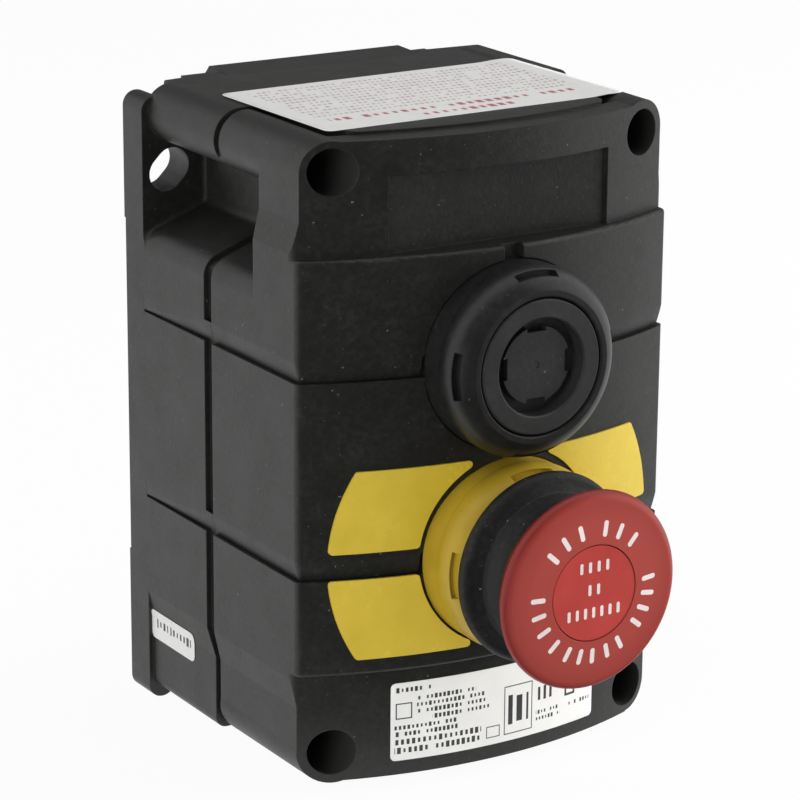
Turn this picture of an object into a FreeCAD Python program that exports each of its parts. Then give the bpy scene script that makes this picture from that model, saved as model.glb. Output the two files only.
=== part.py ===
import math
import os

import FreeCAD
import Part

# Two-position pushbutton control station: a moulded two-shell box with a flush pushbutton above
# a pull-release emergency-stop mushroom. Millimetres, +Z up, the wall is the plane y = 0 and the
# front faces -Y. "Depth" always means the distance in front of the wall, so y = -depth.

# Box outline
body_width = 86.0
body_height = 130.0
tube_radius = 6.0
plain_tube_radius = 6.5
plain_tube_foot_radius = 6.65
plain_corner_round = 2.4
roof_flat = 46.0
roof_fall = 0.3
roof_start = 4.0
roof_round = 0.8
tube_inset = 6.4
end_zone_inset = 1.4
valley_drop = 2.6
pad_width = 59.0
middle_zone_height = 84.0
slant_offset = 1.0
slant_height = 6.0
wall = 5.0
back_wall = 4.5
edge_soft = 0.8

# Parting line between the two shells; its gap lies further forward along the two ends
parting_depth = 36.2
gap_start = 33.7
gap_end = 36.7
end_gap_start = 35.7
end_gap_end = 37.7
gap_depth = 1.2

# Bowed front
front_corner_depth = 70.0
front_bow = 9.6
front_corner_radius = 1.7
end_zone_setback = 2.0
front_rim = 6.0
rim_step = 0.6
bottom_rim_step = 0.2
pad_corner_radius = 3.0

# Horizontal shiplap grooves, one through each actuator centre line
groove_height = 4.4
groove_depth = 1.3
groove_slope = 1.2

# Nameplate recess above the upper ledge
recess_width = 50.4
recess_height = 15.4
recess_depth = 0.6

# Rear rails and rear lip
rail_width = 6.0
rail_thickness = 8.2
rail_round = 2.9
rail_top_drop = 2.7
rail_foot = 2.4
rail_relief = 0.5
foot_start = 36.0
tube_end_depth = 5.5
tube_end_round = 2.0
lip_width = 45.8
lip_slant = 0.9
lip_rise = 0.45
lip_length = 9.0
rear_step = 0.9
rear_step_length = 3.0
shoulder_gap = 0.5

# Side notches that give a driver access to the wall slots
notch_height = 27.7
notch_floor_round = 4.5
notch_floor_slope = 20.0
notch_inner_round = 2.0
notch_rear_round = 1.0
notch_depth_x = 14.5
notch_front_depth = 53.5
slot_width = 7.6
slot_centres = 2.0
slot_inset = 6.15
slot_drop = 11.7

# Inside of the box
cavity_narrow_width = 48.0
cavity_notch_wall = 3.5
cavity_end_wall = 6.0
cavity_radius = 3.0
panel_back_depth = 71.0
side_panel_depth = 66.0
gasket_width = 1.6
gasket_height = 1.6
gasket_inset = 1.1

# Cover screws and their inserts
counterbore_diameter = 9.4
screw_seat_depth = 46.0
screw_diameter = 4.8
screw_head_diameter = 8.5
screw_head_height = 5.0
screw_length = 23.0
screw_socket = 4.0
socket_depth = 2.5
washer_thickness = 1.0
washer_diameter = 8.8
insert_diameter = 8.0
insert_length = 14.8
thread_clearance = 0.05
hole_clearance = 0.35

# Cable entry in the bottom, metric 25, still closed by its moulded membrane
entry_diameter = 23.4
entry_depth = 10.0
entry_wall = 3.3
entry_membrane = 2.0
entry_centre_depth = 19.5

# Actuators
actuator_pitch = 40.0
bezel_diameter = 38.2
bezel_height = 12.0
bezel_side = 5.0
bezel_rim_diameter = 30.4
spot_clearance = 0.2
key_width = 4.4
key_reach = 22.0
barrel_diameter = 31.0
barrel_back_depth = 60.0
barrel_lip = 3.4
panel_clearance = 0.25
screw_fit = 0.1
nut_diameter = 38.0
nut_thickness = 5.0
nut_slot_width = 5.0
nut_slot_depth = 1.6
nut_slots = 6
seal_thickness = 1.0
seal_width = 2.4
bezel_slot_angle = 30.0
bezel_slot_radius = 18.05
bezel_slot_width = 1.0
bezel_slot_depth = 1.4
rim_chamfer = 0.3
running_fit = 0.05
moving_gap = 0.3

# Pushbutton
button_diameter = 27.0
button_travel = 4.0
button_skirt_wall = 1.9
button_skirt_bore_diameter = 28.5
button_skirt_length = 11.0
button_recess_diameter = 19.5
button_recess_depth = 2.0
button_floor = 3.6
clip_disc_diameter = 15.5
clip_gap_depth = 2.2
clip_notch_width = 4.4
clip_notch_reach = 1.1
clip_notch_margin = 0.4
dimple_diameter = 1.4
dimple_depth = 0.15
button_stem_diameter = 8.0
button_flange_diameter = 16.0
button_flange_thickness = 2.0
return_spring_diameter = 12.0
return_spring_wire = 1.4
return_spring_turns = 5.0
barrel_web = 4.0

# Emergency stop
head_diameter = 39.8
head_gap = 13.5
head_thickness = 5.6
head_dome = 0.6
head_edge_radius = 2.0
head_undercut = 1.9
head_lip = 1.6
head_pocket = 2.4
disc_diameter = 19.0
disc_thickness = 1.6
disc_groove = 0.2
disc_sink = 0.1
estop_travel = 5.5
estop_stem_diameter = 12.0
estop_bore_diameter = 24.0
latch_seat = 7.0
latch_web_margin = 3.0
latch_wire = 1.2
latch_opening_angle = 60.0
latch_groove = 0.7
boot_diameter = 38.8
boot_bore_diameter = 26.4
boot_neck_diameter = 31.0
boot_roll = 3.4
boot_pinch = 0.4
boot_tuck = 0.3

# Yellow legend plates either side of the emergency stop
legend_thickness = 0.5
legend_inner_radius = 20.1
legend_outer_radius = 37.6
legend_height = 38.6
legend_groove_margin = 0.5
legend_lift = 0.65
legend_corner = 0.8

# Contact blocks on their carrier plate
carrier_width = 44.0
carrier_height = 96.0
carrier_thickness = 1.5
carrier_screw_x = 18.0
carrier_screw_z = 44.0
small_screw_diameter = 3.0
small_head_diameter = 5.5
small_head_height = 2.0
small_screw_bite = 2.5
block_width = 40.0
block_height = 30.0
block_depth = 34.0
block_round = 1.0
chamber_width = 33.0
chamber_height = 9.0
chamber_start = 8.0
chamber_length = 20.0
plunger_diameter = 8.0
plunger_proud = 6.0
plunger_tail = 13.0
plunger_gap = 0.3
well_diameter = 10.4
well_floor = 2.0
bridge_length = 28.0
bridge_width = 5.0
bridge_thickness = 1.0
bridge_station = 17.0
contact_gap = 0.15
strip_thickness = 1.0
strip_width = 7.0
strip_reach = 9.0
strip_leg_x = 17.0
terminal_reach = 6.0
terminal_screw_length = 8.0
contact_spring_diameter = 8.6
contact_spring_wire = 1.0
contact_spring_turns = 4.0
spring_end_gap = 0.3
wire_sides = 6

# Derived places
half_width = body_width / 2
half_height = body_height / 2
tube_x = half_width - end_zone_inset - tube_radius
tube_z = half_height - tube_inset
end_half_width = tube_x + tube_radius
shell_half_height = half_height - valley_drop
zone_half = middle_zone_height / 2
slant_start = zone_half + slant_offset
slant_end = slant_start + slant_height
bow_radius = (half_width ** 2 + front_bow ** 2) / (2 * front_bow)
end_corner_depth = front_corner_depth - end_zone_setback
overshoot = 5.0
front_limit = front_corner_depth + front_bow + overshoot
corners = [(sx, sz) for sx in (-1, 1) for sz in (-1, 1)]
button_z = actuator_pitch / 2
estop_z = -actuator_pitch / 2
notch_wall_x = half_width - notch_depth_x
notch_floor = tube_z - notch_height
screw_head_base = screw_seat_depth + washer_thickness


def sagitta(x):
    """How far the bowed front has fallen back at x from its crest."""
    return bow_radius - math.sqrt(bow_radius ** 2 - x ** 2)


def bow_depth(x, corner_depth):
    """Depth of a bowed front at x, for the front whose outer corners lie at corner_depth."""
    return corner_depth + front_bow - sagitta(x)


seat_depth = bow_depth(bezel_diameter / 2, front_corner_depth)
bezel_front = seat_depth + bezel_height
barrel_front = bezel_front - barrel_lip
carrier_front = back_wall + carrier_thickness
block_front = carrier_front + block_depth
plunger_tip = block_front + plunger_proud
stem_end = plunger_tip + plunger_gap
bridge_near = carrier_front + bridge_station
bridge_far = bridge_near + bridge_thickness
head_back = bezel_front + head_gap
head_face = head_back + head_thickness
head_floor = head_back + head_pocket
latch_depth = barrel_back_depth + latch_seat


def point(x, depth, z):
    return FreeCAD.Vector(x, -depth, z)


def cylinder(diameter, near, far, x, z):
    """Round bar along the depth axis, from depth near to depth far."""
    return Part.makeCylinder(diameter / 2, far - near, point(x, near, z), FreeCAD.Vector(0, -1, 0))


def tube(outer, inner, near, far, x, z):
    return cylinder(outer, near, far, x, z).cut(cylinder(inner, near, far, x, z))


def block(x0, x1, near, far, z0, z1):
    return Part.makeBox(x1 - x0, far - near, z1 - z0, point(x0, far, z0))


def prism(outline, near, far):
    """Outline of (x, z) points carried along the depth axis."""
    wire = Part.makePolygon([point(x, near, z) for x, z in outline + outline[:1]])
    return Part.Face(wire).extrude(FreeCAD.Vector(0, near - far, 0))


def fused(solids):
    return solids[0].multiFuse(solids[1:]).removeSplitter() if len(solids) > 1 else solids[0]


def depth_edges(solid):
    """Straight edges that run along the depth axis."""
    found = []
    for edge in solid.Edges:
        ends = [vertex.Point for vertex in edge.Vertexes]
        if len(ends) == 2 and abs((ends[0] - ends[1]).y) > 0.999 * edge.Length:
            found.append(edge)
    return found


def upright_edges(solid, least_depth):
    """Straight edges along Z that lie in front of least_depth."""
    found = []
    for edge in solid.Edges:
        ends = [vertex.Point for vertex in edge.Vertexes]
        if len(ends) == 2 and abs((ends[0] - ends[1]).z) > 0.999 * edge.Length:
            if -ends[0].y > least_depth:
                found.append(edge)
    return found


def level_edges(solid, z, least_depth):
    """Edges that lie wholly at height z and reach in front of least_depth."""
    found = []
    for edge in solid.Edges:
        box = edge.BoundBox
        if abs(box.ZMin - z) < 0.01 and abs(box.ZMax - z) < 0.01 and -box.YMin > least_depth:
            found.append(edge)
    return found


def turned(profile, z):
    """Solid of revolution about an actuator axis. The profile lists (radius, depth) corners;
    an entry made of two such pairs is an arc through the first pair to the second."""
    start = profile[0]
    edges = []
    last = start
    for step in profile[1:] + [start]:
        if isinstance(step[0], tuple):
            middle, end = step
            stations = [point(radius, depth, z) for radius, depth in (last, middle, end)]
            edges.append(Part.Arc(*stations).toShape())
        else:
            end = step
            if math.dist(last, end) > 1e-6:
                edges.append(Part.makeLine(point(last[0], last[1], z), point(end[0], end[1], z)))
        last = end
    face = Part.Face(Part.Wire(edges))
    return face.revolve(point(0, 0, z), FreeCAD.Vector(0, 1, 0), 360)


def coil(mean_diameter, wire, turns, near, far, z):
    """Helical compression spring about an actuator axis, its ends inside near and far. The wire
    has flat sides, few enough to stay light."""
    length = far - near - wire
    helix = Part.makeHelix(length / turns, length, mean_diameter / 2)
    rim = []
    for step in range(wire_sides + 1):
        angle = 2 * math.pi * step / wire_sides
        radius = mean_diameter / 2 + wire / 2 * math.cos(angle)
        rim.append(FreeCAD.Vector(radius, 0, wire / 2 * math.sin(angle)))
    spring = Part.Wire(helix).makePipeShell([Part.makePolygon(rim)], True, True)
    spring.rotate(FreeCAD.Vector(0, 0, 0), FreeCAD.Vector(1, 0, 0), 90)
    spring.translate(point(0, near + wire / 2, z))
    return spring


def plan_wire(half, corner_depth, back_depth, z):
    """Closed plan outline at height z: straight sides, straight back and a bowed front."""
    crest = corner_depth + sagitta(half)
    left_back = point(-half, back_depth, z)
    left_front = point(-half, corner_depth, z)
    right_front = point(half, corner_depth, z)
    right_back = point(half, back_depth, z)
    return Part.Wire([
        Part.makeLine(left_back, left_front),
        Part.Arc(left_front, point(0, crest, z), right_front).toShape(),
        Part.makeLine(right_front, right_back),
        Part.makeLine(right_back, left_back),
    ])


def bowed_block(half, corner_depth, back_depth, z0, z1):
    return Part.Face(plan_wire(half, corner_depth, back_depth, z0)).extrude(FreeCAD.Vector(0, 0, z1 - z0))


def shell_outline(shrink):
    """Side walls with the slanted waists, up to the tops of the four corner tubes. The right side
    is listed from its notched lower corner to its plain upper one; the left is its half turn."""
    notched = end_half_width - shrink
    plain = tube_x + plain_tube_radius - shrink
    right = [
        (tube_x, shrink - shell_half_height),
        (notched, -tube_z),
        (notched, -slant_end),
        (half_width - shrink, -slant_start),
        (half_width - shrink, slant_start),
        (plain, slant_end),
        (plain, tube_z),
        (tube_x, shell_half_height - shrink),
    ]
    return right + [(-x, -z) for x, z in right]


def corner_tube(sx, sz, near, far, shrink, foot_radius):
    """Round bar along one corner. A plain corner's bar may be drafted from a wider foot."""
    x, z = sx * tube_x, sz * tube_z
    if sx * sz < 0:
        return cylinder(2 * (tube_radius - shrink), near, far, x, z)
    tip = plain_tube_radius - shrink
    if foot_radius == plain_tube_radius:
        return cylinder(2 * tip, near, far, x, z)
    foot = foot_radius - shrink
    return Part.makeCone(foot, tip, far - near, point(x, near, z), FreeCAD.Vector(0, -1, 0))


def shell_blank(near, far, shrink=0.0, foot_radius=plain_tube_radius):
    """Solid box between two depths: waisted walls with a round tube along each corner."""
    tubes = [corner_tube(sx, sz, near, far, shrink, foot_radius) for sx, sz in corners]
    return fused([prism(shell_outline(shrink), near, far)] + tubes)


def pads(near, far, shrink=0.0):
    """Flat raised pad between the tubes, on the top and on the bottom."""
    half = pad_width / 2 - shrink
    return block(-half, half, near, far, shrink - half_height, half_height - shrink)


def cavity(near, far_narrow, far_wide):
    """Cross-shaped inside of the box: a tall narrow well and a short wide one."""
    tall = half_height - cavity_end_wall
    narrow = block(-cavity_narrow_width / 2, cavity_narrow_width / 2, near, far_narrow, -tall, tall)
    across = half_width - wall
    short = notch_floor - cavity_notch_wall
    wide = block(-across, across, near, far_wide, -short, short)
    narrow = narrow.makeFillet(cavity_radius, depth_edges(narrow))
    wide = wide.makeFillet(cavity_radius, depth_edges(wide))
    return narrow.fuse(wide)


def gasket_ring():
    """Square ring that follows the rim of the cavity, set back from its edge by gasket_inset."""
    section = cavity(parting_depth - gasket_height, parting_depth, parting_depth).removeSplitter()
    rims = [face for face in section.Faces if abs(face.CenterOfMass.y + parting_depth) < 0.01]
    rim = rims[0].OuterWire
    inner = rim.makeOffset2D(gasket_inset)
    outer = rim.makeOffset2D(gasket_inset + gasket_width)
    ring = Part.Face(outer).cut(Part.Face(inner)).Faces[0]
    return ring.extrude(FreeCAD.Vector(0, gasket_height, 0))


def side_notch(side, near, far, grow=0.0, rear_round=0.0):
    """Access space between the wall flange, a corner tube and the box. side 1 is the upper
    left one as seen from the front, side -1 the same turned half round to the lower right.
    Its floor rolls over from the side wall, slopes up and sweeps into the inner wall. grow sinks
    floor and inner wall, as the parting gap does; rear_round softens its corner with the flange."""
    outside = half_width + overshoot
    slope = math.radians(notch_floor_slope)
    rise, run = math.sin(slope), math.cos(slope)
    start = notch_floor - grow
    inner_wall = notch_wall_x - grow
    roll = notch_floor_round
    sweep = notch_inner_round
    roll_x = half_width - roll
    floor_length = (roll_x + (roll + sweep) * rise - inner_wall - sweep) / run
    sweep_x = inner_wall + sweep
    sweep_z = start + (roll + sweep) * run + floor_length * rise
    roll_turn = (math.pi / 2 - slope) / 2
    sweep_turn = (math.pi / 2 + slope) / 2 + math.pi / 2
    tube_under = tube_z - tube_radius
    under = tube_radius * math.sqrt(0.5)

    def place(x, z):
        return point(-x, near, z)

    wall_start = place(half_width, start)
    roll_middle = place(roll_x + roll * math.cos(roll_turn), start + roll * math.sin(roll_turn))
    roll_end = place(roll_x + roll * rise, start + roll * run)
    sweep_start = place(sweep_x - sweep * rise, sweep_z - sweep * run)
    sweep_middle = place(sweep_x + sweep * math.cos(sweep_turn), sweep_z - sweep * math.sin(sweep_turn))
    sweep_end = place(inner_wall, sweep_z)
    edges = [
        Part.Arc(wall_start, roll_middle, roll_end).toShape(),
        Part.makeLine(roll_end, sweep_start),
        Part.Arc(sweep_start, sweep_middle, sweep_end).toShape(),
        Part.makeLine(sweep_end, place(inner_wall, tube_under)),
        Part.makeLine(place(inner_wall, tube_under), place(tube_x, tube_under)),
        Part.Arc(place(tube_x, tube_under), place(tube_x + under, tube_z - under),
                 place(end_half_width, tube_z)).toShape(),
        Part.makeLine(place(end_half_width, tube_z), place(outside, tube_z)),
        Part.makeLine(place(outside, tube_z), place(outside, start)),
        Part.makeLine(place(outside, start), wall_start),
    ]
    notch = Part.Face(Part.Wire(edges)).extrude(FreeCAD.Vector(0, near - far, 0))
    if rear_round > 0:
        corner = []
        for edge in notch.Edges:
            box = edge.BoundBox
            at_rear = abs(box.YMin + near) < 0.01 and abs(box.YMax + near) < 0.01
            below_tube = box.ZMin < tube_under - 0.01 and box.ZMax < tube_under + 0.01
            if at_rear and below_tube and box.XMin > -half_width - 0.01:
                corner.append(edge)
        notch = notch.makeFillet(rear_round, corner)
    if side < 0:
        notch.rotate(FreeCAD.Vector(0, 0, 0), FreeCAD.Vector(0, 1, 0), 180)
    return notch


def wall_slot(side):
    """Diagonal slot through the flange, seen through the side notch."""
    reach = slot_centres / 2
    across = slot_width / 2
    far = rail_thickness + overshoot
    middle = block(-reach, reach, -overshoot, far, -across, across)
    ends = [cylinder(slot_width, -overshoot, far, end, 0) for end in (-reach, reach)]
    slot = fused([middle] + ends)
    slot.rotate(FreeCAD.Vector(0, 0, 0), FreeCAD.Vector(0, 1, 0), -45)
    slot.translate(FreeCAD.Vector(side * (slot_inset - half_width), 0, side * (tube_z - slot_drop)))
    return slot


def groove_section(level):
    """Shiplap groove across the right wall: square lower step, floor, sloped upper side."""
    low = level - groove_height / 2
    high = level + groove_height / 2
    floor_x = half_width - groove_depth
    outside = half_width + overshoot
    slope_end = high + overshoot * groove_slope / groove_depth
    return [(outside, low), (floor_x, low), (floor_x, high - groove_slope), (outside, slope_end)]


def base_grooves(level):
    right = prism(groove_section(level), rail_thickness, parting_depth)
    left = right.mirror(FreeCAD.Vector(0, 0, 0), FreeCAD.Vector(1, 0, 0))
    return right.fuse(left)


def cover_groove(level):
    """The groove wraps the bowed front: a slab less the core that is left standing."""
    low = level - groove_height / 2
    high = level + groove_height / 2
    floor_half = half_width - groove_depth
    floor_corner = bow_depth(floor_half, front_corner_depth) - groove_depth
    core = bowed_block(floor_half, floor_corner, parting_depth, low, high - groove_slope)
    slope = Part.makeLoft([
        plan_wire(floor_half, floor_corner, parting_depth, high - groove_slope),
        plan_wire(half_width, front_corner_depth, parting_depth, high),
    ], True, True)
    around = half_width + overshoot
    slab = block(-around, around, parting_depth, front_limit, low, high)
    return slab.cut(core).cut(slope)


def rear_rails():
    """Two upright rails along the rear edges. They stand on the wall at both ends and are
    relieved between."""
    solids = []
    for side in (-1, 1):
        inner = side * (half_width - rail_width)
        outer = side * half_width
        rail = block(min(inner, outer), max(inner, outer), 0, rail_thickness,
                     -half_height - rail_foot, half_height - rail_top_drop)
        rail = rail.makeFillet(rail_round, depth_edges(rail))
        solids.append(rail)
    return fused(solids)


def end_zones(near, far):
    """Both ends of the box between two depths. Their inner limit slants with the waists, from
    where those start at the nearer depth to where they end at the farther one."""
    around = half_width + overshoot
    limit = half_height + overshoot
    zones = []
    for side in (1, -1):
        outline = [(near, slant_start), (far, slant_end), (far, limit), (near, limit)]
        wire = Part.makePolygon([point(-around, depth, side * z) for depth, z in outline + outline[:1]])
        zones.append(Part.Face(wire).extrude(FreeCAD.Vector(2 * around, 0, 0)))
    return zones[0].fuse(zones[1])


def base_roofs(near, far, soften):
    """Level roofs of the rear shell, above and below. Each falls a little towards both corners
    and makes the plain one square with a small round; soften rounds the rear edge as well."""
    outer = tube_x + plain_tube_radius
    flat = roof_flat / 2
    outline = [(-tube_x, slant_end), (outer, slant_end), (outer, half_height - roof_fall),
               (flat, half_height), (-flat, half_height), (-tube_x, tube_z + tube_radius)]
    roof = prism(outline, near, far)
    corner = [edge for edge in depth_edges(roof)
              if edge.BoundBox.XMin > outer - 0.01 and edge.BoundBox.ZMin > tube_z]
    roof = roof.makeFillet(plain_corner_round, corner)
    if soften:
        rear = [edge for edge in roof.Edges
                if abs(edge.BoundBox.YMin + near) < 0.01 and edge.BoundBox.ZMin > tube_z]
        roof = roof.makeFillet(roof_round, rear)
    below = roof.copy()
    below.rotate(FreeCAD.Vector(0, 0, 0), FreeCAD.Vector(0, 1, 0), 180)
    return [roof, below]


def rear_lip():
    """Low ramp along the top's rear edge, highest at the wall, with slanted ends."""
    top = half_height + lip_rise
    foot = half_height - rear_step
    half = lip_width / 2
    outline = [(-half - lip_slant, foot), (half + lip_slant, foot), (half, top), (-half, top)]
    section = [(0, foot), (lip_length, foot), (lip_length, half_height), (0, top)]
    wire = Part.makePolygon([point(-half_width, depth, z) for depth, z in section + section[:1]])
    return prism(outline, 0, lip_length).common(Part.Face(wire).extrude(FreeCAD.Vector(body_width, 0, 0)))


def rear_base():
    main = shell_blank(tube_end_depth, gap_start)
    boxes = [(edge, edge.BoundBox) for edge in main.Edges]
    ends = [edge for edge, box in boxes
            if abs(box.YMax + tube_end_depth) < 0.01 and abs(box.YMin + tube_end_depth) < 0.01]
    main = main.makeFillet(tube_end_round, ends)
    forward = fused([shell_blank(gap_start, end_gap_start)] + base_roofs(gap_start, end_gap_start, False))
    forward = forward.common(end_zones(gap_start, end_gap_start))
    neck = shell_blank(gap_start, parting_depth, gap_depth)
    tall = half_height - rear_step
    inside = tube_end_depth + tube_end_round
    centre = block(-pad_width / 2, pad_width / 2, 0, inside, -tall, tall)
    waist = tube_z - tube_radius - shoulder_gap
    sides = block(-half_width, half_width, 0, inside, -slant_start, slant_start)
    shoulders = block(-end_half_width, end_half_width, 0, inside, -waist, waist)
    flat = block(-roof_flat / 2, roof_flat / 2, rear_step_length, gap_start, -half_height, half_height)
    solid = fused([main, neck, centre, sides, shoulders, flat, rear_lip(), rear_rails(), forward,
                   pads(gap_start, parting_depth, gap_depth)] + base_roofs(roof_start, gap_start, True))
    rail_inner = half_width - rail_width
    reliefs = [block(x0, x1, 0, rail_relief, -foot_start, foot_start)
               for x0, x1 in ((-half_width, -rail_inner), (rail_inner, half_width))]
    cuts = [base_grooves(button_z), base_grooves(estop_z)] + reliefs
    cuts += [cavity(back_wall, parting_depth, parting_depth)]
    solid = solid.cut(cuts)
    boss_height = entry_depth + entry_membrane - cavity_end_wall / 2
    boss_foot = cavity_end_wall / 2 - half_height
    boss_radius = entry_diameter / 2 + entry_wall
    boss = Part.makeCylinder(boss_radius, boss_height, point(0, entry_centre_depth, boss_foot))
    solid = solid.fuse(boss)
    bore = Part.makeCylinder(entry_diameter / 2, entry_depth, point(0, entry_centre_depth, -half_height))
    cuts = [bore, gasket_ring()]
    for side in (1, -1):
        cuts.append(side_notch(side, rail_thickness, parting_depth, rear_round=notch_rear_round))
        cuts.append(side_notch(side, gap_start, parting_depth, gap_depth))
        cuts.append(wall_slot(side))
    insert_near = parting_depth - insert_length
    screw_tip = screw_head_base - screw_length - small_screw_bite
    hole = screw_diameter + 2 * hole_clearance
    pilot = back_wall - small_screw_bite
    for sx, sz in corners:
        x, z = sx * tube_x, sz * tube_z
        cuts.append(cylinder(insert_diameter, insert_near, parting_depth, x, z))
        cuts.append(cylinder(hole, screw_tip, parting_depth, x, z))
        x, z = sx * carrier_screw_x, sz * carrier_screw_z
        cuts.append(cylinder(small_screw_diameter, pilot, back_wall, x, z))
    return solid.cut(cuts).removeSplitter()


def cover_front_rim(corner_depth):
    """Band behind the bowed front edge that closes the valleys beside the pads."""
    inner_half = half_width - front_rim
    inner = bowed_block(inner_half, bow_depth(inner_half, corner_depth) - front_rim, parting_depth,
                        -half_height, half_height)
    top = half_height - rim_step
    bottom = bottom_rim_step - half_height
    return block(-tube_x, tube_x, end_gap_end, front_limit, bottom, top).cut(inner)


def cover_pads(corner_depth):
    """Raised pads of the cover; their front edge follows the bow behind the rim."""
    half = pad_width / 2
    edge = bow_depth(half, corner_depth) - front_rim
    plate = bowed_block(half, edge, gap_end, -half_height, half_height)
    return plate.makeFillet(pad_corner_radius, upright_edges(plate, gap_end + 1))


def front_cover():
    end_limit = half_height + overshoot
    end_front = bowed_block(half_width, end_corner_depth, parting_depth, -end_limit, end_limit)
    end_front = end_front.makeFillet(front_corner_radius, upright_edges(end_front, gap_end))
    drafted = shell_blank(gap_end, front_limit, foot_radius=plain_tube_foot_radius)
    ends = fused([drafted, cover_front_rim(end_corner_depth)]).common(end_front)
    middle = bowed_block(half_width, front_corner_depth, gap_end, -zone_half, zone_half)
    middle = middle.makeFillet(front_corner_radius, upright_edges(middle, gap_end + 1))
    rims = level_edges(middle, zone_half, gap_end + 1) + level_edges(middle, -zone_half, gap_end + 1)
    middle = middle.makeFillet(edge_soft, rims)
    outside = fused([ends, middle, cover_pads(end_corner_depth)]).cut(end_zones(gap_end, end_gap_end))
    neck = shell_blank(parting_depth, end_gap_end, gap_depth)
    solid = fused([outside, neck, pads(parting_depth, end_gap_end, gap_depth)])
    cuts = [cover_groove(button_z), cover_groove(estop_z)]
    for side in (1, -1):
        cuts.append(side_notch(side, parting_depth, notch_front_depth))
        cuts.append(side_notch(side, parting_depth, gap_end, gap_depth))
    cuts.append(cavity(parting_depth, panel_back_depth, side_panel_depth))
    solid = solid.cut(cuts)
    cuts = []
    spot = bezel_diameter + 2 * spot_clearance
    panel_hole = barrel_diameter + 2 * panel_clearance
    key = key_width / 2
    for level in (button_z, estop_z):
        cuts.append(cylinder(spot, seat_depth, front_limit, 0, level))
        cuts.append(cylinder(panel_hole, barrel_back_depth, front_limit, 0, level))
        cuts.append(block(-key, key, seat_depth, front_limit, level - key_reach, level + key_reach))
    hole = screw_diameter + 2 * hole_clearance
    for sx, sz in corners:
        x, z = sx * tube_x, sz * tube_z
        cuts.append(cylinder(counterbore_diameter, screw_seat_depth, front_limit, x, z))
        cuts.append(cylinder(hole, parting_depth, front_limit, x, z))
    half = recess_width / 2
    recess = block(-half, half, parting_depth, front_limit, zone_half, zone_half + recess_height)
    recess_corner = end_corner_depth - recess_depth
    floor = bowed_block(half_width, recess_corner, parting_depth, -half_height, half_height)
    cuts.append(recess.cut(floor))
    return solid.cut(cuts).removeSplitter()


def legend_plates():
    """Four thin plates on the bowed front, a ring round the emergency stop trimmed flat above
    and below and parted where the groove runs. They sit a little above the stop's axis."""
    middle = estop_z + legend_lift
    face = front_corner_depth + legend_thickness
    skin = bowed_block(half_width, face, parting_depth, -zone_half, zone_half)
    skin = skin.cut(bowed_block(half_width, front_corner_depth, parting_depth, -zone_half, zone_half))
    ring = tube(2 * legend_outer_radius, 2 * legend_inner_radius, parting_depth, front_limit, 0, middle)
    reach = legend_outer_radius + overshoot
    near_edge = groove_height / 2 + legend_groove_margin
    plates = []
    for sx, sz in corners:
        x0, x1 = sorted((0, sx * reach))
        z0, z1 = sorted((middle + sz * near_edge, middle + sz * legend_height / 2))
        segment = ring.common(block(x0, x1, parting_depth, front_limit, z0, z1))
        segment = segment.makeFillet(legend_corner, depth_edges(segment))
        plates.append(segment.common(skin))
    return Part.makeCompound(plates)


def cover_screws():
    screws = []
    for sx, sz in corners:
        x, z = sx * tube_x, sz * tube_z
        shank = cylinder(screw_diameter, screw_head_base - screw_length, screw_head_base, x, z)
        head = cylinder(screw_head_diameter, screw_head_base, screw_head_base + screw_head_height, x, z)
        top = screw_head_base + screw_head_height
        flats = [(x + screw_socket / math.sqrt(3) * math.cos(math.radians(60 * k)),
                  z + screw_socket / math.sqrt(3) * math.sin(math.radians(60 * k))) for k in range(6)]
        screws.append(shank.fuse(head).cut(prism(flats, top - socket_depth, top)).removeSplitter())
    return Part.makeCompound(screws)


def screw_washers():
    bore = screw_diameter + 2 * thread_clearance
    washers = [tube(washer_diameter, bore, screw_seat_depth, screw_head_base, sx * tube_x, sz * tube_z)
               for sx, sz in corners]
    return Part.makeCompound(washers)


def threaded_inserts():
    near = parting_depth - insert_length
    bore = screw_diameter + 2 * thread_clearance
    return Part.makeCompound([tube(insert_diameter, bore, near, parting_depth, sx * tube_x, sz * tube_z)
                              for sx, sz in corners])


def bezel(level):
    """Domed ring: short straight side, quarter-ellipse shoulder, narrow flat front rim, seal
    groove behind and four arc slots for the fitting key."""
    outer = bezel_diameter / 2
    rim = bezel_rim_diameter / 2
    side_end = seat_depth + bezel_side
    rise = bezel_front - side_end
    lip_bore = button_diameter / 2 + moving_gap
    bore = barrel_diameter / 2 + screw_fit
    seal_in = bore + screw_fit
    seal_out = seal_in + seal_width
    seal_top = seat_depth + seal_thickness
    middle = (rim + (outer - rim) * math.sqrt(0.5), side_end + rise * math.sqrt(0.5))
    body = turned([
        (seal_out, seat_depth), (outer, seat_depth), (outer, side_end), (middle, (rim, bezel_front)),
        (lip_bore + rim_chamfer, bezel_front), (lip_bore, bezel_front - rim_chamfer),
        (lip_bore, barrel_front), (bore, barrel_front), (bore, seal_top), (seal_out, seal_top),
    ], level)
    ring_out = 2 * bezel_slot_radius + bezel_slot_width
    ring_in = 2 * bezel_slot_radius - bezel_slot_width
    slot_height = side_end + rise * math.sqrt(1 - ((bezel_slot_radius - rim) / (outer - rim)) ** 2)
    ring = tube(ring_out, ring_in, slot_height - bezel_slot_depth, front_limit + bezel_height, 0, level)
    half_angle = math.radians(bezel_slot_angle / 2)
    spread = bezel_diameter * math.tan(half_angle)
    for quarter in range(4):
        wedge = prism([(0, level), (bezel_diameter, level - spread), (bezel_diameter, level + spread)],
                      slot_height - bezel_slot_depth, front_limit + bezel_height)
        wedge.rotate(point(0, 0, level), FreeCAD.Vector(0, 1, 0), 90 * quarter)
        body = body.cut(ring.common(wedge))
    return body


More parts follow.
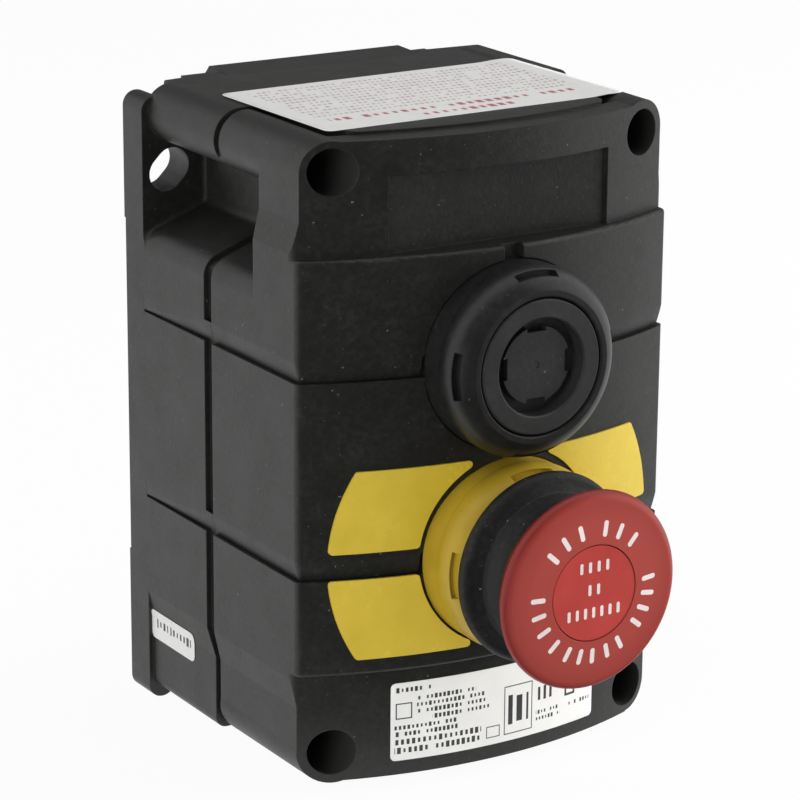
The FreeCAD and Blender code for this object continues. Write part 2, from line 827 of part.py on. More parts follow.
def bezel_seal(level):
    inner = barrel_diameter / 2 + 2 * screw_fit
    return tube(2 * (inner + seal_width), 2 * inner, seat_depth, seat_depth + seal_thickness, 0, level)


def ring_nut(level):
    near = panel_back_depth - nut_thickness
    nut = tube(nut_diameter, barrel_diameter + 2 * screw_fit, near, panel_back_depth, 0, level)
    for step in range(nut_slots):
        slot = block(nut_diameter / 2 - nut_slot_depth, nut_diameter, near, panel_back_depth,
                     level - nut_slot_width / 2, level + nut_slot_width / 2)
        slot.rotate(point(0, 0, level), FreeCAD.Vector(0, 1, 0), 360 / nut_slots * (step + 0.5))
        nut = nut.cut(slot)
    return nut


def pushbutton_barrel():
    bore = button_skirt_bore_diameter
    shell = tube(barrel_diameter, bore, barrel_back_depth + barrel_web, barrel_front, 0, button_z)
    web = tube(barrel_diameter, button_stem_diameter + 2 * running_fit, barrel_back_depth,
               barrel_back_depth + barrel_web, 0, button_z)
    return shell.fuse(web).removeSplitter()


def pushbutton_cap():
    """Flush ring round a sunk disc, on a wider skirt that the bezel holds in. A deep gap parts
    ring and disc, and four notches in the disc's edge take the clips of an insert."""
    skirt = button_skirt_bore_diameter / 2 - running_fit
    ring = button_diameter / 2
    recess = button_recess_diameter / 2
    disc = clip_disc_diameter / 2
    dimple = dimple_diameter / 2
    shoulder = barrel_front - moving_gap
    disc_front = bezel_front - button_recess_depth
    gap_floor = disc_front - clip_gap_depth
    floor_back = disc_front - button_floor
    skirt_back = shoulder - button_skirt_length
    inner = skirt - button_skirt_wall
    cap = turned([
        (0, disc_front - dimple_depth), (dimple, disc_front - dimple_depth), (dimple, disc_front),
        (disc, disc_front), (disc, gap_floor), (recess, gap_floor), (recess, bezel_front - rim_chamfer),
        (recess + rim_chamfer, bezel_front), (ring - rim_chamfer, bezel_front),
        (ring, bezel_front - rim_chamfer), (ring, shoulder), (skirt, shoulder), (skirt, skirt_back),
        (inner, skirt_back), (inner, floor_back), (0, floor_back),
    ], button_z)
    across = clip_notch_width / 2
    for quarter in range(4):
        notch = block(disc - clip_notch_reach, disc + clip_notch_margin, gap_floor, disc_front,
                      button_z - across, button_z + across)
        notch.rotate(point(0, 0, button_z), FreeCAD.Vector(0, 1, 0), 90 * quarter)
        cap = cap.cut(notch)
    return cap.removeSplitter()


def pushbutton_stem():
    top = bezel_front - button_recess_depth - button_floor
    rod = cylinder(button_stem_diameter, stem_end, top, 0, button_z)
    flange = cylinder(button_flange_diameter, top - button_flange_thickness, top, 0, button_z)
    return rod.fuse(flange).removeSplitter()


def pushbutton_return_spring():
    near = barrel_back_depth + barrel_web + spring_end_gap
    far = bezel_front - button_recess_depth - button_floor - button_flange_thickness - spring_end_gap
    return coil(return_spring_diameter, return_spring_wire, return_spring_turns, near, far, button_z)


def estop_barrel():
    """Stepped sleeve with a thick rear web that guides the stem and holds the latch clip."""
    web_front = latch_depth + latch_web_margin
    shell = tube(barrel_diameter, estop_bore_diameter, web_front, barrel_front, 0, estop_z)
    guide = estop_stem_diameter + 2 * running_fit
    web = tube(barrel_diameter, guide, barrel_back_depth, web_front, 0, estop_z)
    clip_outer = estop_stem_diameter + 2 * latch_wire
    half = latch_wire / 2 + running_fit
    seat = cylinder(clip_outer, latch_depth - half, latch_depth + half, 0, estop_z)
    return shell.fuse(web).cut(seat).removeSplitter()


def estop_latch_clip():
    """Open wire ring that snaps between the two grooves of the stem."""
    mean = estop_stem_diameter / 2 - latch_groove + running_fit + latch_wire / 2
    start = point(mean, latch_depth, estop_z)
    section = Part.Face(Part.Wire(Part.makeCircle(latch_wire / 2, start, FreeCAD.Vector(0, 0, 1))))
    centre = point(0, latch_depth, estop_z)
    return section.revolve(centre, FreeCAD.Vector(0, 1, 0), 360 - latch_opening_angle)


def estop_stem():
    """Push rod with two latch grooves one travel apart."""
    radius = estop_stem_diameter / 2
    floor = radius - latch_groove
    half = latch_wire / 2 + running_fit
    low = latch_depth
    high = latch_depth + estop_travel
    return turned([
        (0, stem_end), (radius, stem_end), (radius, low - half), (floor, low - half), (floor, low + half),
        (radius, low + half), (radius, high - half), (floor, high - half), (floor, high + half),
        (radius, high + half), (radius, head_floor), (0, head_floor),
    ], estop_z)


def estop_head():
    """Mushroom: gently domed face, round edge, undercut flank, hollow underneath for the boot."""
    outer = head_diameter / 2
    foot = outer - head_undercut
    pocket = foot - head_lip
    disc = disc_diameter / 2 + disc_groove
    edge = head_edge_radius
    shoulder_r = outer - edge
    shoulder_d = head_face - head_dome
    edge_middle = (shoulder_r + edge * math.sqrt(0.5), shoulder_d - edge + edge * math.sqrt(0.5))
    disc_floor = head_face - disc_thickness
    return turned([
        (0, disc_floor), (disc, disc_floor), (disc, head_face), (shoulder_r, shoulder_d),
        (edge_middle, (outer, shoulder_d - edge)), (foot, head_back), (pocket, head_back),
        (pocket, head_floor), (0, head_floor),
    ], estop_z)


def estop_centre_disc():
    return cylinder(disc_diameter, head_face - disc_thickness, head_face - disc_sink, 0, estop_z)


def estop_boot():
    """Rubber boot: a rolled flange over the bezel rim, a waist, and a lip tucked in the head."""
    bore = boot_bore_diameter / 2
    outer = boot_diameter / 2
    neck = boot_neck_diameter / 2
    foot = bezel_front
    roll_middle = (outer, foot + boot_roll / 2)
    lip = head_floor - boot_tuck
    roll_end = foot + boot_roll
    waist = (neck - boot_pinch, (roll_end + lip) / 2)
    return turned([
        (bore, foot), (outer - boot_roll / 2, foot), (roll_middle, (outer - boot_roll / 2, roll_end)),
        (waist, (neck, lip)), (bore, lip),
    ], estop_z)


def contact_carrier():
    """Flat steel plate across the back wall that both contact blocks sit on."""
    half_x = carrier_width / 2
    half_z = carrier_height / 2
    plate = block(-half_x, half_x, back_wall, carrier_front, -half_z, half_z)
    plate = plate.makeFillet(cavity_radius, depth_edges(plate))
    holes = [cylinder(small_screw_diameter + 2 * thread_clearance, back_wall, carrier_front,
                      sx * carrier_screw_x, sz * carrier_screw_z) for sx, sz in corners]
    return plate.cut(holes)


def pan_screw(x, z, seat, length):
    """Small pan-head screw with its head on the plane at depth seat, cross slot left plain."""
    shank = cylinder(small_screw_diameter, seat - length, seat, x, z)
    head = cylinder(small_head_diameter, seat, seat + small_head_height, x, z)
    return shank.fuse(head).removeSplitter()


def carrier_screws():
    length = carrier_thickness + small_screw_bite
    return Part.makeCompound([pan_screw(sx * carrier_screw_x, sz * carrier_screw_z, carrier_front, length)
                              for sx, sz in corners])


def contact_bridge(level):
    reach = bridge_length / 2
    half = bridge_width / 2
    return block(-reach, reach, bridge_near, bridge_far, level - half, level + half)


def contact_plunger(level):
    rod = cylinder(plunger_diameter, carrier_front + plunger_tail, plunger_tip, 0, level)
    return rod.cut(contact_bridge(level))


def contact_strips(level, behind):
    """Pair of bent contact strips: the tip lies under or over the bridge, the leg runs up
    through the housing wall and the tag lies on the front of the block. behind is the travel
    left to a strip at the rear of the bridge; None sets it against the front of the bridge."""
    if behind is None:
        tip = bridge_far + contact_gap
    else:
        tip = bridge_near - behind - contact_gap - strip_thickness
    z0 = level - strip_width / 2
    z1 = level + strip_width / 2
    outer = strip_leg_x + strip_thickness
    strips = []
    for side in (-1, 1):
        legs = sorted((side * strip_leg_x, side * outer))
        tips = sorted((side * strip_reach, side * outer))
        tags = sorted((side * (outer - terminal_reach), side * outer))
        strip = fused([
            block(tips[0], tips[1], tip, tip + strip_thickness, z0, z1),
            block(legs[0], legs[1], tip, block_front, z0, z1),
            block(tags[0], tags[1], block_front, block_front + strip_thickness, z0, z1),
        ])
        hole_x = side * (outer - terminal_reach / 2)
        strips.append(strip.cut(cylinder(small_screw_diameter + 2 * thread_clearance, block_front,
                                         block_front + strip_thickness, hole_x, level)))
    return Part.makeCompound(strips)


def terminal_screws(level):
    seat = block_front + strip_thickness
    x = strip_leg_x + strip_thickness - terminal_reach / 2
    screws = [pan_screw(side * x, level, seat, terminal_screw_length) for side in (-1, 1)]
    return Part.makeCompound(screws)


def contact_housing(level, behind):
    """Moulded block with a plunger bore, a contact chamber open at its outer end and a spring
    well."""
    outer_side = 1 if level > 0 else -1
    body = block(-block_width / 2, block_width / 2, carrier_front, block_front,
                 level - block_height / 2, level + block_height / 2)
    body = body.makeFillet(block_round, depth_edges(body))
    start = carrier_front + chamber_start
    z0, z1 = sorted((level - outer_side * chamber_height / 2, level + outer_side * block_height))
    chamber = block(-chamber_width / 2, chamber_width / 2, start, start + chamber_length, z0, z1)
    bore = cylinder(plunger_diameter + 2 * running_fit, start, block_front, 0, level)
    well = cylinder(well_diameter, carrier_front + well_floor, carrier_front + plunger_tail, 0, level)
    cuts = [chamber, bore, well]
    x = strip_leg_x + strip_thickness - terminal_reach / 2
    hole = small_screw_diameter + 2 * thread_clearance
    hole_end = block_front + strip_thickness - terminal_screw_length - thread_clearance
    for side in (-1, 1):
        cuts.append(cylinder(hole, hole_end, block_front, side * x, level))
    return body.cut(cuts).cut(contact_strips(level, behind)).removeSplitter()


def contact_spring(level):
    near = carrier_front + well_floor + spring_end_gap
    far = carrier_front + plunger_tail - spring_end_gap
    return coil(contact_spring_diameter, contact_spring_wire, contact_spring_turns, near, far, level)


def save(name, shape):
    solids = shape.Solids
    for solid in solids:
        if not solid.isValid() or solid.Volume <= 0:
            raise ValueError(name + " holds a solid that is not sound")
    if not solids:
        raise ValueError(name + " is empty")
    keep = solids[0] if len(solids) == 1 else Part.makeCompound(solids)
    keep.exportStep("parts/" + name + ".step")


os.makedirs("parts", exist_ok=True)
save("rear_base", rear_base())
save("front_cover", front_cover())
save("cover_gasket", gasket_ring())
save("cover_screws", cover_screws())
save("screw_washers", screw_washers())
save("threaded_inserts", threaded_inserts())
save("legend_plates", legend_plates())
for name, level in (("pushbutton", button_z), ("estop", estop_z)):
    save(name + "_bezel", bezel(level))
    save(name + "_seal", bezel_seal(level))
    save(name + "_nut", ring_nut(level))
save("pushbutton_barrel", pushbutton_barrel())
save("pushbutton_cap", pushbutton_cap())
save("pushbutton_stem", pushbutton_stem())
save("pushbutton_return_spring", pushbutton_return_spring())
save("estop_barrel", estop_barrel())
save("estop_latch_clip", estop_latch_clip())
save("estop_stem", estop_stem())
save("estop_head", estop_head())
save("estop_centre_disc", estop_centre_disc())
save("estop_boot", estop_boot())
save("contact_carrier", contact_carrier())
save("carrier_screws", carrier_screws())
for name, level, behind in (("upper", button_z, button_travel), ("lower", estop_z, None)):
    save(name + "_contact_housing", contact_housing(level, behind))
    save(name + "_contact_strips", contact_strips(level, behind))
    save(name + "_terminal_screws", terminal_screws(level))
    save(name + "_contact_plunger", contact_plunger(level))
    save(name + "_contact_bridge", contact_bridge(level))
    save(name + "_contact_spring", contact_spring(level))
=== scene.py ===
"""Looks of a pushbutton control station: finishes, labels, prints, boot and springs round the fixed frame."""
import math

import bmesh
import bpy
import numpy as np
from mathutils import Matrix, Vector


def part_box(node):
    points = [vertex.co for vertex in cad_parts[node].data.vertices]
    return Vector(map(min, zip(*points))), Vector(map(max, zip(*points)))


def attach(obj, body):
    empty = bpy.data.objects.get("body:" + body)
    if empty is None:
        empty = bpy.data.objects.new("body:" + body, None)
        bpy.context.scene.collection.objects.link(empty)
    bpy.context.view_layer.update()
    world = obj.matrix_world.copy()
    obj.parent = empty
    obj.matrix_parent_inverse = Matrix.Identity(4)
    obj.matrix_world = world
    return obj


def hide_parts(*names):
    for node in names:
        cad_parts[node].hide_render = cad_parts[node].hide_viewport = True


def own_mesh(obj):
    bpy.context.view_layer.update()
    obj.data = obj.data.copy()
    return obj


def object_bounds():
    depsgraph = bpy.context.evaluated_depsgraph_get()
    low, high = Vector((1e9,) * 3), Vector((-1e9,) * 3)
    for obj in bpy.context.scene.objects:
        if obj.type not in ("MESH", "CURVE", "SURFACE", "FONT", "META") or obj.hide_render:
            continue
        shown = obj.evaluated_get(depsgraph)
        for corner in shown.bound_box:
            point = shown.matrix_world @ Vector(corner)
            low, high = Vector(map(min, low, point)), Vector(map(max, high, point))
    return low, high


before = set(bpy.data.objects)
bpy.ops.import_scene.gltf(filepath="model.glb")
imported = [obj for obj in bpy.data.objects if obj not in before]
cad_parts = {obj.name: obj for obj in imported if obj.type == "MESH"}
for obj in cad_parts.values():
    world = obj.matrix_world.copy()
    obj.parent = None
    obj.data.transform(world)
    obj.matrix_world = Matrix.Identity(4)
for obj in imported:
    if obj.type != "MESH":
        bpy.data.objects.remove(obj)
CAD_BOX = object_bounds()

bl_info = {
    "name": "Pushbutton Control Station",
    "version": (1, 0, 0),
    "blender": (4, 5, 0),
    "location": "3D View > Sidebar > Station",
    "description": "Dresses the control station and sets it on a studio sweep",
    "category": "Object",
}

MM = 0.001
HAIR = 0.02 * MM  # keeps a new piece clear of the frame's faces
NOISE_SPAN = {"From Min": 0.3, "From Max": 0.7}  # where most of a noise's values lie


def srgb(code):
    """Linear RGBA of a six-digit sRGB hex colour."""
    values = [int(code[i:i + 2], 16) / 255 for i in (0, 2, 4)]
    return tuple(v / 12.92 if v <= 0.04045 else ((v + 0.055) / 1.055) ** 2.4 for v in values) + (1.0,)


def colour(label, words, code):
    return bpy.props.FloatVectorProperty(name=label, description=words, default=srgb(code), size=4,
                                         min=0, max=1, subtype="COLOR")


def length(label, words, millimetres):
    return bpy.props.FloatProperty(name=label, description=words, default=millimetres * MM, unit="LENGTH")


def angle(label, words, degrees):
    return bpy.props.FloatProperty(name=label, description=words, default=math.radians(degrees),
                                   subtype="ANGLE")


def power(label, words, watts):
    return bpy.props.FloatProperty(name=label, description=words, default=watts, unit="POWER")


def point(label, words, *metres):
    return bpy.props.FloatVectorProperty(name=label, description=words, default=metres, subtype="TRANSLATION")


class StationFinish(bpy.types.PropertyGroup):
    """Colours of the mouldings, metals and prints."""
    housing: colour("Housing", "Black glass-filled polyester of the two shells", "1d1e1c")
    housing_lint: colour("Lint", "Pale fibres and dust on the black mouldings", "8c8c88")
    # Painted light: a paler tone on the walls of the deep screw wells stands in for light that reaches into
    # them.
    well_painted_light: colour("Well dust", "Dust on the walls of the deep screw wells", "313230")
    cap_black: colour("Cap black", "Black polyamide of the button", "2a2b2a")
    satin_black: colour("Satin black", "Black polyamide of the button's ring", "191a19")
    yellow: colour("Yellow", "Yellow polyamide of the stop's ring", "b09329")
    legend: colour("Legend", "Yellow laminate of the legend plates", "d4b93a")
    # Painted light and shade on the mushroom: the red below is drawn deep as painted shade on its round edge
    # and sides, and the face red after it is paler as painted light on its front face.
    red: colour("Red", "Red polyamide of the mushroom", "7e1f19")
    red_face_painted_light: colour("Red face", "Handled front face of the mushroom, scuffed paler", "aa4139")
    red_disc: colour("Red disc", "Brighter red polyamide of the mushroom's disc", "b93d37")
    rubber: colour("Rubber", "Black silicone rubber of the boot", "1c1c1c")
    seal: colour("Seal", "Dark grey sealing rubber", "2c2c2e")
    paper: colour("Film", "White polyester film of the labels", "f4f4f2")
    ink: colour("Ink", "Black print on the labels", "3a3a3c")
    red_ink: colour("Red ink", "Pale red print on the top label", "c06b74")
    grey_ink: colour("Grey ink", "Fine pinkish print on the top label", "c9adb2")
    print_white: colour("Pad print", "White pad print on the mushroom", "e9dcda")
    steel: colour("Steel", "Stainless and zinc-plated steel", "c8c8c6")
    brass: colour("Brass", "Turned and stamped brass", "c9a45c")
    grey: colour("Grey polyamide", "Grey polyamide of nuts and contact blocks", "8a8c8e")
    acetal: colour("Acetal", "Natural acetal of stems and plungers", "e6e5df")


class StationSizes(bpy.types.PropertyGroup):
    """Sizes of what the scene adds to the frame."""
    film: length("Film", "Thickness of a label", 0.12)
    lay: length("Lay", "Gap under a laid label", 0.04)
    pad_top: length("Pad top", "Height of the flat top above the middle", 65.0)
    front_bow: length("Front bow", "Rise of the bowed front over its whole width", 9.6)
    end_setback: length("End setback", "How far the end zones stand behind the middle one", 2.0)
    top_label_width: length("Top label width", "Long side of the label on the top", 70.0)
    top_label_depth: length("Top label depth", "Short side of the label on the top", 40.6)
    top_label_x: length("Top label across", "Middle of the top label, across", 1.3)
    top_label_y: length("Top label along", "Middle of the top label, from the wall", -44.2)
    top_label_turn: angle("Top label turn", "Skew of the hand-laid label", 1.2)
    rating_width: length("Rating label width", "Width of the label under the stop", 48.5)
    rating_height: length("Rating label height", "Height of the label under the stop", 16.5)
    rating_z: length("Rating label level", "Middle of the label under the stop", -53.55)
    side_label_width: length("Side label width", "Long side of the small label on the left wall", 18.6)
    side_label_height: length("Side label height", "Short side of the small label", 6.3)
    side_label_y: length("Side label along", "Middle of the small label, from the wall", -17.4)
    side_label_z: length("Side label level", "Middle of the small label", -50.15)
    waist_start: length("Waist start", "Level at which the side walls begin to slant in", 43.0)
    waist_height: length("Waist height", "Height of the slanted stretch", 6.0)
    waist_inset: length("Waist inset", "How far the slant brings the wall in", 0.9)
    well_x: length("Well across", "Middle of a screw well, from the middle", 35.6)
    well_z: length("Well level", "Middle of a screw well, above the middle", 58.6)
    well_radius: length("Well radius", "Radius of a screw well", 4.7)
    corner_radius: length("Corner radius", "Round between the side walls and the bowed front", 1.7)
    rail: length("Rail", "Thickness of the rear rails, where the grooves start", 8.2)
    groove_z: length("Groove level", "Middle of a groove, from the middle", 20.0)
    groove_height: length("Groove height", "Height of a groove", 4.4)
    groove_reach: length("Groove reach", "How far its slope falls back", 0.95)
    groove_floor: length("Groove floor", "Depth of the slope's own rear side", 1.27)
    groove_crack: length("Groove crack", "Dark gap under the slope's lower edge", 0.22)
    ledge_z: length("Ledge level", "Level of the ledge under the nameplate recess", 42.0)
    recess_width: length("Recess width", "Width of the nameplate recess", 50.4)
    recess_height: length("Recess height", "Height of the nameplate recess", 15.4)
    recess_sunk: length("Recess sunk", "Depth of the bowed floor that the flat one takes the place of", 0.6)
    recess_floor: length("Recess floor", "Distance of the flat floor from the wall", 73.6)
    mark_radius: length("Mark radius", "Middle of the print round the mushroom", 12.8)
    mark_height: length("Mark height", "Height of a mark of that print", 3.2)
    mark_width: length("Mark width", "Width of a mark of that print", 1.0)


class StationStage(bpy.types.PropertyGroup):
    """Camera, floor and light."""
    azimuth: angle("Azimuth", "Camera's turn to the left of the front", 32.04)
    elevation: angle("Elevation", "Camera's height above the horizon", 16.87)
    roll: angle("Roll", "Camera's roll", 0.45)
    eye: point("Eye", "Camera's place", -0.35166, -0.60043, 0.20111)
    view_angle: angle("View angle", "Camera's angle of view", 13.55)
    ambient: bpy.props.FloatProperty(name="Ambient", description="Soft light from all round", default=0.35)
    left_lamp: power("Left lamp", "Power of the soft lamp on the left", 5.0)
    left_place: point("Left lamp's place", "Low on the left and well forward", -0.8, -0.5, 0.12)
    right_lamp: power("Right lamp", "Power of the soft lamp on the right", 12.5)
    right_place: point("Right lamp's place", "Low on the right and a little forward", 0.95, -0.28, 0.26)
    side_size: length("Side lamps' size", "Side of the square lamps on the left and right", 600.0)
    top_lamp: power("Top lamp", "Power of the soft lamp above", 1.8)
    top_place: point("Top lamp's place", "Above and a little forward", 0.0, -0.2, 1.0)
    top_size: length("Top lamp's size", "Side of the square lamp above", 800.0)
    floor_tint: colour("Floor", "Matt white of the floor", "f4f4f3")
    dark_card: colour("Dark card", "Cards that the front mirrors", "464646")
    grey_card: colour("Grey card", "Card that the top mirrors", "808080")
    floor_white: bpy.props.FloatProperty(name="Floor white", description="Share of plain white in the floor",
                                         default=0.95, subtype="FACTOR")


# Materials


def feed(tree, made, inputs):
    """Fills a node's inputs: a socket's name or number with a value, with another node's output or, where a
    node is given, with its first output."""
    for key, value in inputs.items():
        if isinstance(value, bpy.types.Node):
            value = value.outputs[0]
        if isinstance(value, bpy.types.NodeSocket):
            tree.links.new(value, made.inputs[key])
        else:
            made.inputs[key].default_value = value


def node(tree, kind, inputs=None, **settings):
    """Adds one node with its settings and inputs."""
    made = tree.nodes.new(kind)
    for name, value in settings.items():
        setattr(made, name, value)
    feed(tree, made, inputs or {})
    return made


def empty_tree(owner):
    """Node tree of a new material or world, with nothing in it."""
    owner.use_nodes = True
    owner.node_tree.nodes.clear()
    return owner.node_tree


def material(name, **sockets):
    """Principled material; sockets are the shader's uniform values by name. Gives it, its tree and shader."""
    made = bpy.data.materials.new(name)
    tree = empty_tree(made)
    shader = node(tree, "ShaderNodeBsdfPrincipled", {k.replace("_", " "): v for k, v in sockets.items()})
    node(tree, "ShaderNodeOutputMaterial", {"Surface": shader})
    return made, tree, shader


def mottled(tree, tint, noise, dark, light):
    """A colour that a noise changes from dark to light times its own tone."""
    shade = node(tree, "ShaderNodeMapRange", {"Value": noise, **NOISE_SPAN, "To Min": dark, "To Max": light})
    return node(tree, "ShaderNodeMix", {"Factor": 1.0, 6: tint, 7: shade}, data_type="RGBA",
                blend_type="MULTIPLY").outputs[2]


def moulded(name, tint, rough, grain, depth, edge, lint=None, lint_share=0.0, **sockets):
    """Moulded plastic or rubber: a fine grain of the given size and depth, a cloudy change of gloss and tone,
    a soft edge and, where lint is given, scattered pale fibres. Sizes are in millimetres."""
    gloss_swing, dark, light = 0.06, 0.92, 1.08
    made, tree, shader = material(name, **sockets)
    place = node(tree, "ShaderNodeTexCoord").outputs["Object"]
    cloud = node(tree, "ShaderNodeTexNoise", {"Vector": place, "Scale": 1 / (9 * MM), "Detail": 7.0,
                                              "Roughness": 0.65})
    gloss = node(tree, "ShaderNodeMapRange", {"Value": cloud, **NOISE_SPAN, "To Min": rough - gloss_swing,
                                              "To Max": rough + gloss_swing})
    face = mottled(tree, tint, cloud, dark, light)
    if lint is not None:
        # Handling leaves a pale bloom in the grain, thicker in patches. Real grain is finer than a pixel, so
        # it is drawn 1.2 mm wide to show.
        skin = node(tree, "ShaderNodeTexNoise", {"Vector": place, "Scale": 1 / (1.2 * MM), "Detail": 4.0,
                                                 "Roughness": 0.6})
        film = node(tree, "ShaderNodeMapRange", {"Value": skin, "From Min": 0.42, "From Max": 0.75,
                                                 "To Min": 0.0, "To Max": 0.06})
        patch = node(tree, "ShaderNodeMapRange", {"Value": cloud, "From Min": 0.35, "From Max": 0.68,
                                                  "To Min": 0.25, "To Max": 1.0})
        bloom = node(tree, "ShaderNodeMath", {0: film, 1: patch}, operation="MULTIPLY")
        face = node(tree, "ShaderNodeMix", {"Factor": bloom, 6: face, 7: lint}, data_type="RGBA").outputs[2]
        # A speck sits in the middle of some cells of a pattern, bent to the shape of a fibre by 0.7 mm:
        # bright ones 3 mm apart, faint ones 1.3 mm apart.
        bend = node(tree, "ShaderNodeTexNoise", {"Vector": place, "Scale": 1 / (0.6 * MM), "Detail": 1.0})
        warped = node(tree, "ShaderNodeVectorMath", {0: bend.outputs["Color"], 1: (0.7 * MM,) * 3, 2: place},
                      operation="MULTIPLY_ADD")
        for pitch, reach, strength in ((3.0, 0.07, 0.6), (1.3, 0.12, 0.25)):
            cells = node(tree, "ShaderNodeTexVoronoi", {"Vector": warped, "Scale": 1 / (pitch * MM)}).outputs
            near = node(tree, "ShaderNodeMapRange", {"Value": cells["Distance"], "From Min": reach / 2,
                                                     "From Max": reach, "To Min": strength, "To Max": 0.0})
            pick = node(tree, "ShaderNodeMath", {0: cells["Color"], 1: 1 - lint_share},
                        operation="GREATER_THAN")
            speck = node(tree, "ShaderNodeMath", {0: near, 1: pick}, operation="MULTIPLY")
            face = node(tree, "ShaderNodeMix", {"Factor": speck, 6: face, 7: lint},
                        data_type="RGBA").outputs[2]
    fine = node(tree, "ShaderNodeTexNoise", {"Vector": place, "Scale": 1 / (grain * MM), "Detail": 3.0})
    soft = node(tree, "ShaderNodeBevel", {"Radius": edge * MM}, samples=4)
    bump = node(tree, "ShaderNodeBump", {"Height": fine, "Strength": 1.0, "Distance": depth * MM,
                                         "Normal": soft})
    feed(tree, shader, {"Roughness": gloss, "Base Color": face, "Normal": bump})
    return made


def metal(name, tint, rough, stretch):
    """Worked metal: fine scratches drawn out by stretch (x, y, z), a slight change of tone, soft edges."""
    gloss_swing, dark, light = 0.08, 0.85, 1.1
    made, tree, shader = material(name, Metallic=1.0)
    place = node(tree, "ShaderNodeTexCoord").outputs["Object"]
    drawn = node(tree, "ShaderNodeMapping", {"Vector": place, "Scale": stretch})
    # Real scratches are finer than a pixel, so they are drawn 0.15 mm apart to show.
    marks = node(tree, "ShaderNodeTexNoise", {"Vector": drawn, "Scale": 1 / (0.15 * MM), "Detail": 3.0})
    gloss = node(tree, "ShaderNodeMapRange", {"Value": marks, **NOISE_SPAN, "To Min": rough - gloss_swing,
                                              "To Max": rough + gloss_swing})
    soft = node(tree, "ShaderNodeBevel", {"Radius": 0.15 * MM}, samples=4)
    feed(tree, shader, {"Roughness": gloss, "Base Color": mottled(tree, tint, marks, dark, light),
                        "Normal": soft})
    return made


def repaint(made, share, tint):
    """Lays a colour over a material's own, as far as share says."""
    tree = made.node_tree
    shader = tree.nodes["Principled BSDF"]
    own = shader.inputs["Base Color"].links[0].from_socket
    mixed = node(tree, "ShaderNodeMix", {"Factor": share, 6: own, 7: tint}, data_type="RGBA")
    feed(tree, shader, {"Base Color": mixed.outputs[2]})


def housing_polyester(f, s):
    # Hot-pressed glass-filled polyester: dull black with a fine leathery grain that goes grey at a low angle.
    # The deep screw wells are drawn paler as painted light reaching into them. The grooves' upper edges run
    # into the wall without a line.
    made = moulded("housing_polyester", f.housing, rough=0.46, grain=0.6, depth=0.04, edge=0.35,
                   lint=f.housing_lint, lint_share=0.4, IOR=1.5)
    tree = made.node_tree
    place = node(tree, "ShaderNodeTexCoord").outputs["Object"]
    axes = node(tree, "ShaderNodeSeparateXYZ", {0: place}).outputs
    folded = node(tree, "ShaderNodeVectorMath", {0: place}, operation="ABSOLUTE")
    from_well = node(tree, "ShaderNodeVectorMath", {0: folded, 1: (s.well_x, 0.0, s.well_z)},
                     operation="SUBTRACT")
    flat = node(tree, "ShaderNodeVectorMath", {0: from_well, 1: (1.0, 0.0, 1.0)}, operation="MULTIPLY")
    radius = node(tree, "ShaderNodeVectorMath", {0: flat}, operation="LENGTH").outputs["Value"]
    well_edge = s.well_radius + 0.05 * MM
    near = node(tree, "ShaderNodeMath", {0: radius, 1: well_edge}, operation="LESS_THAN")
    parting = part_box("front_cover")[1].y
    ahead = node(tree, "ShaderNodeMath", {0: axes[1], 1: parting}, operation="LESS_THAN")
    well = node(tree, "ShaderNodeMath", {0: near, 1: ahead}, operation="MULTIPLY")
    # Painted light: the wells' walls ahead of the parting are drawn paler than the housing.
    repaint(made, well, f.well_painted_light)
    margin = 0.6 * MM
    soft = tree.nodes["Bevel"]
    for middle in (s.groove_z, -s.groove_z):
        edge = middle + s.groove_height / 2
        band = node(tree, "ShaderNodeMath", {0: axes[2], 1: edge, 2: margin}, operation="COMPARE")
        own = soft.inputs["Radius"]
        wide = own.links[0].from_socket if own.is_linked else own.default_value
        kept = node(tree, "ShaderNodeMapRange", {"Value": band, "To Min": wide, "To Max": 0.0})
        feed(tree, soft, {"Radius": kept})
    return made


def satin_polyamide(f):
    # Injection-moulded polyamide off a blasted tool: an even satin black with softer highlights.
    return moulded("satin_polyamide", f.satin_black, rough=0.4, grain=0.35, depth=0.008, edge=0.3,
                   lint=f.housing_lint, lint_share=0.2, IOR=1.53)


def cap_polyamide(f):
    # The same polyamide, rubbed by fingers: a shade greyer and dustier.
    return moulded("cap_polyamide", f.cap_black, rough=0.42, grain=0.4, depth=0.015, edge=0.2,
                   lint=f.housing_lint, lint_share=0.5, IOR=1.53)


def yellow_polyamide(f):
    # Mass-coloured polyamide: the same satin over a full yellow.
    return moulded("yellow_polyamide", f.yellow, rough=0.36, grain=0.4, depth=0.006, edge=0.25, IOR=1.53)


def legend_laminate(f):
    # Rolled acrylic laminate: a flat glossy sheet with a faint ripple.
    return moulded("legend_laminate", f.legend, rough=0.24, grain=3.0, depth=0.008, edge=0.12, IOR=1.49)


def red_polyamide(f):
    # Mass-coloured polyamide, handled: satin with cloudy patches of gloss.
    return moulded("red_polyamide", f.red_disc, rough=0.36, grain=0.4, depth=0.006, edge=0.25, IOR=1.53)


def painted_light_red_polyamide(f):
    # The same polyamide with painted light and shade: the front face is drawn paler as painted light, the
    # round edge a deeper red as painted shade.
    made = moulded("painted_light_red_polyamide", f.red, rough=0.4, grain=0.4, depth=0.008, edge=0.25, IOR=1.53)
    tree = made.node_tree
    place = node(tree, "ShaderNodeTexCoord").outputs["Object"]
    depth = node(tree, "ShaderNodeSeparateXYZ", {0: place}).outputs[1]
    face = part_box("estop_head")[0].y
    painted_face_share = node(tree, "ShaderNodeMapRange", {"Value": depth, "From Min": face + 1.3 * MM,
                                             "From Max": face + 0.3 * MM})
    # Painted light: the front face is drawn paler, fading back to the deeper red 1.3 mm behind it.
    repaint(made, painted_face_share, f.red_face_painted_light)
    return made


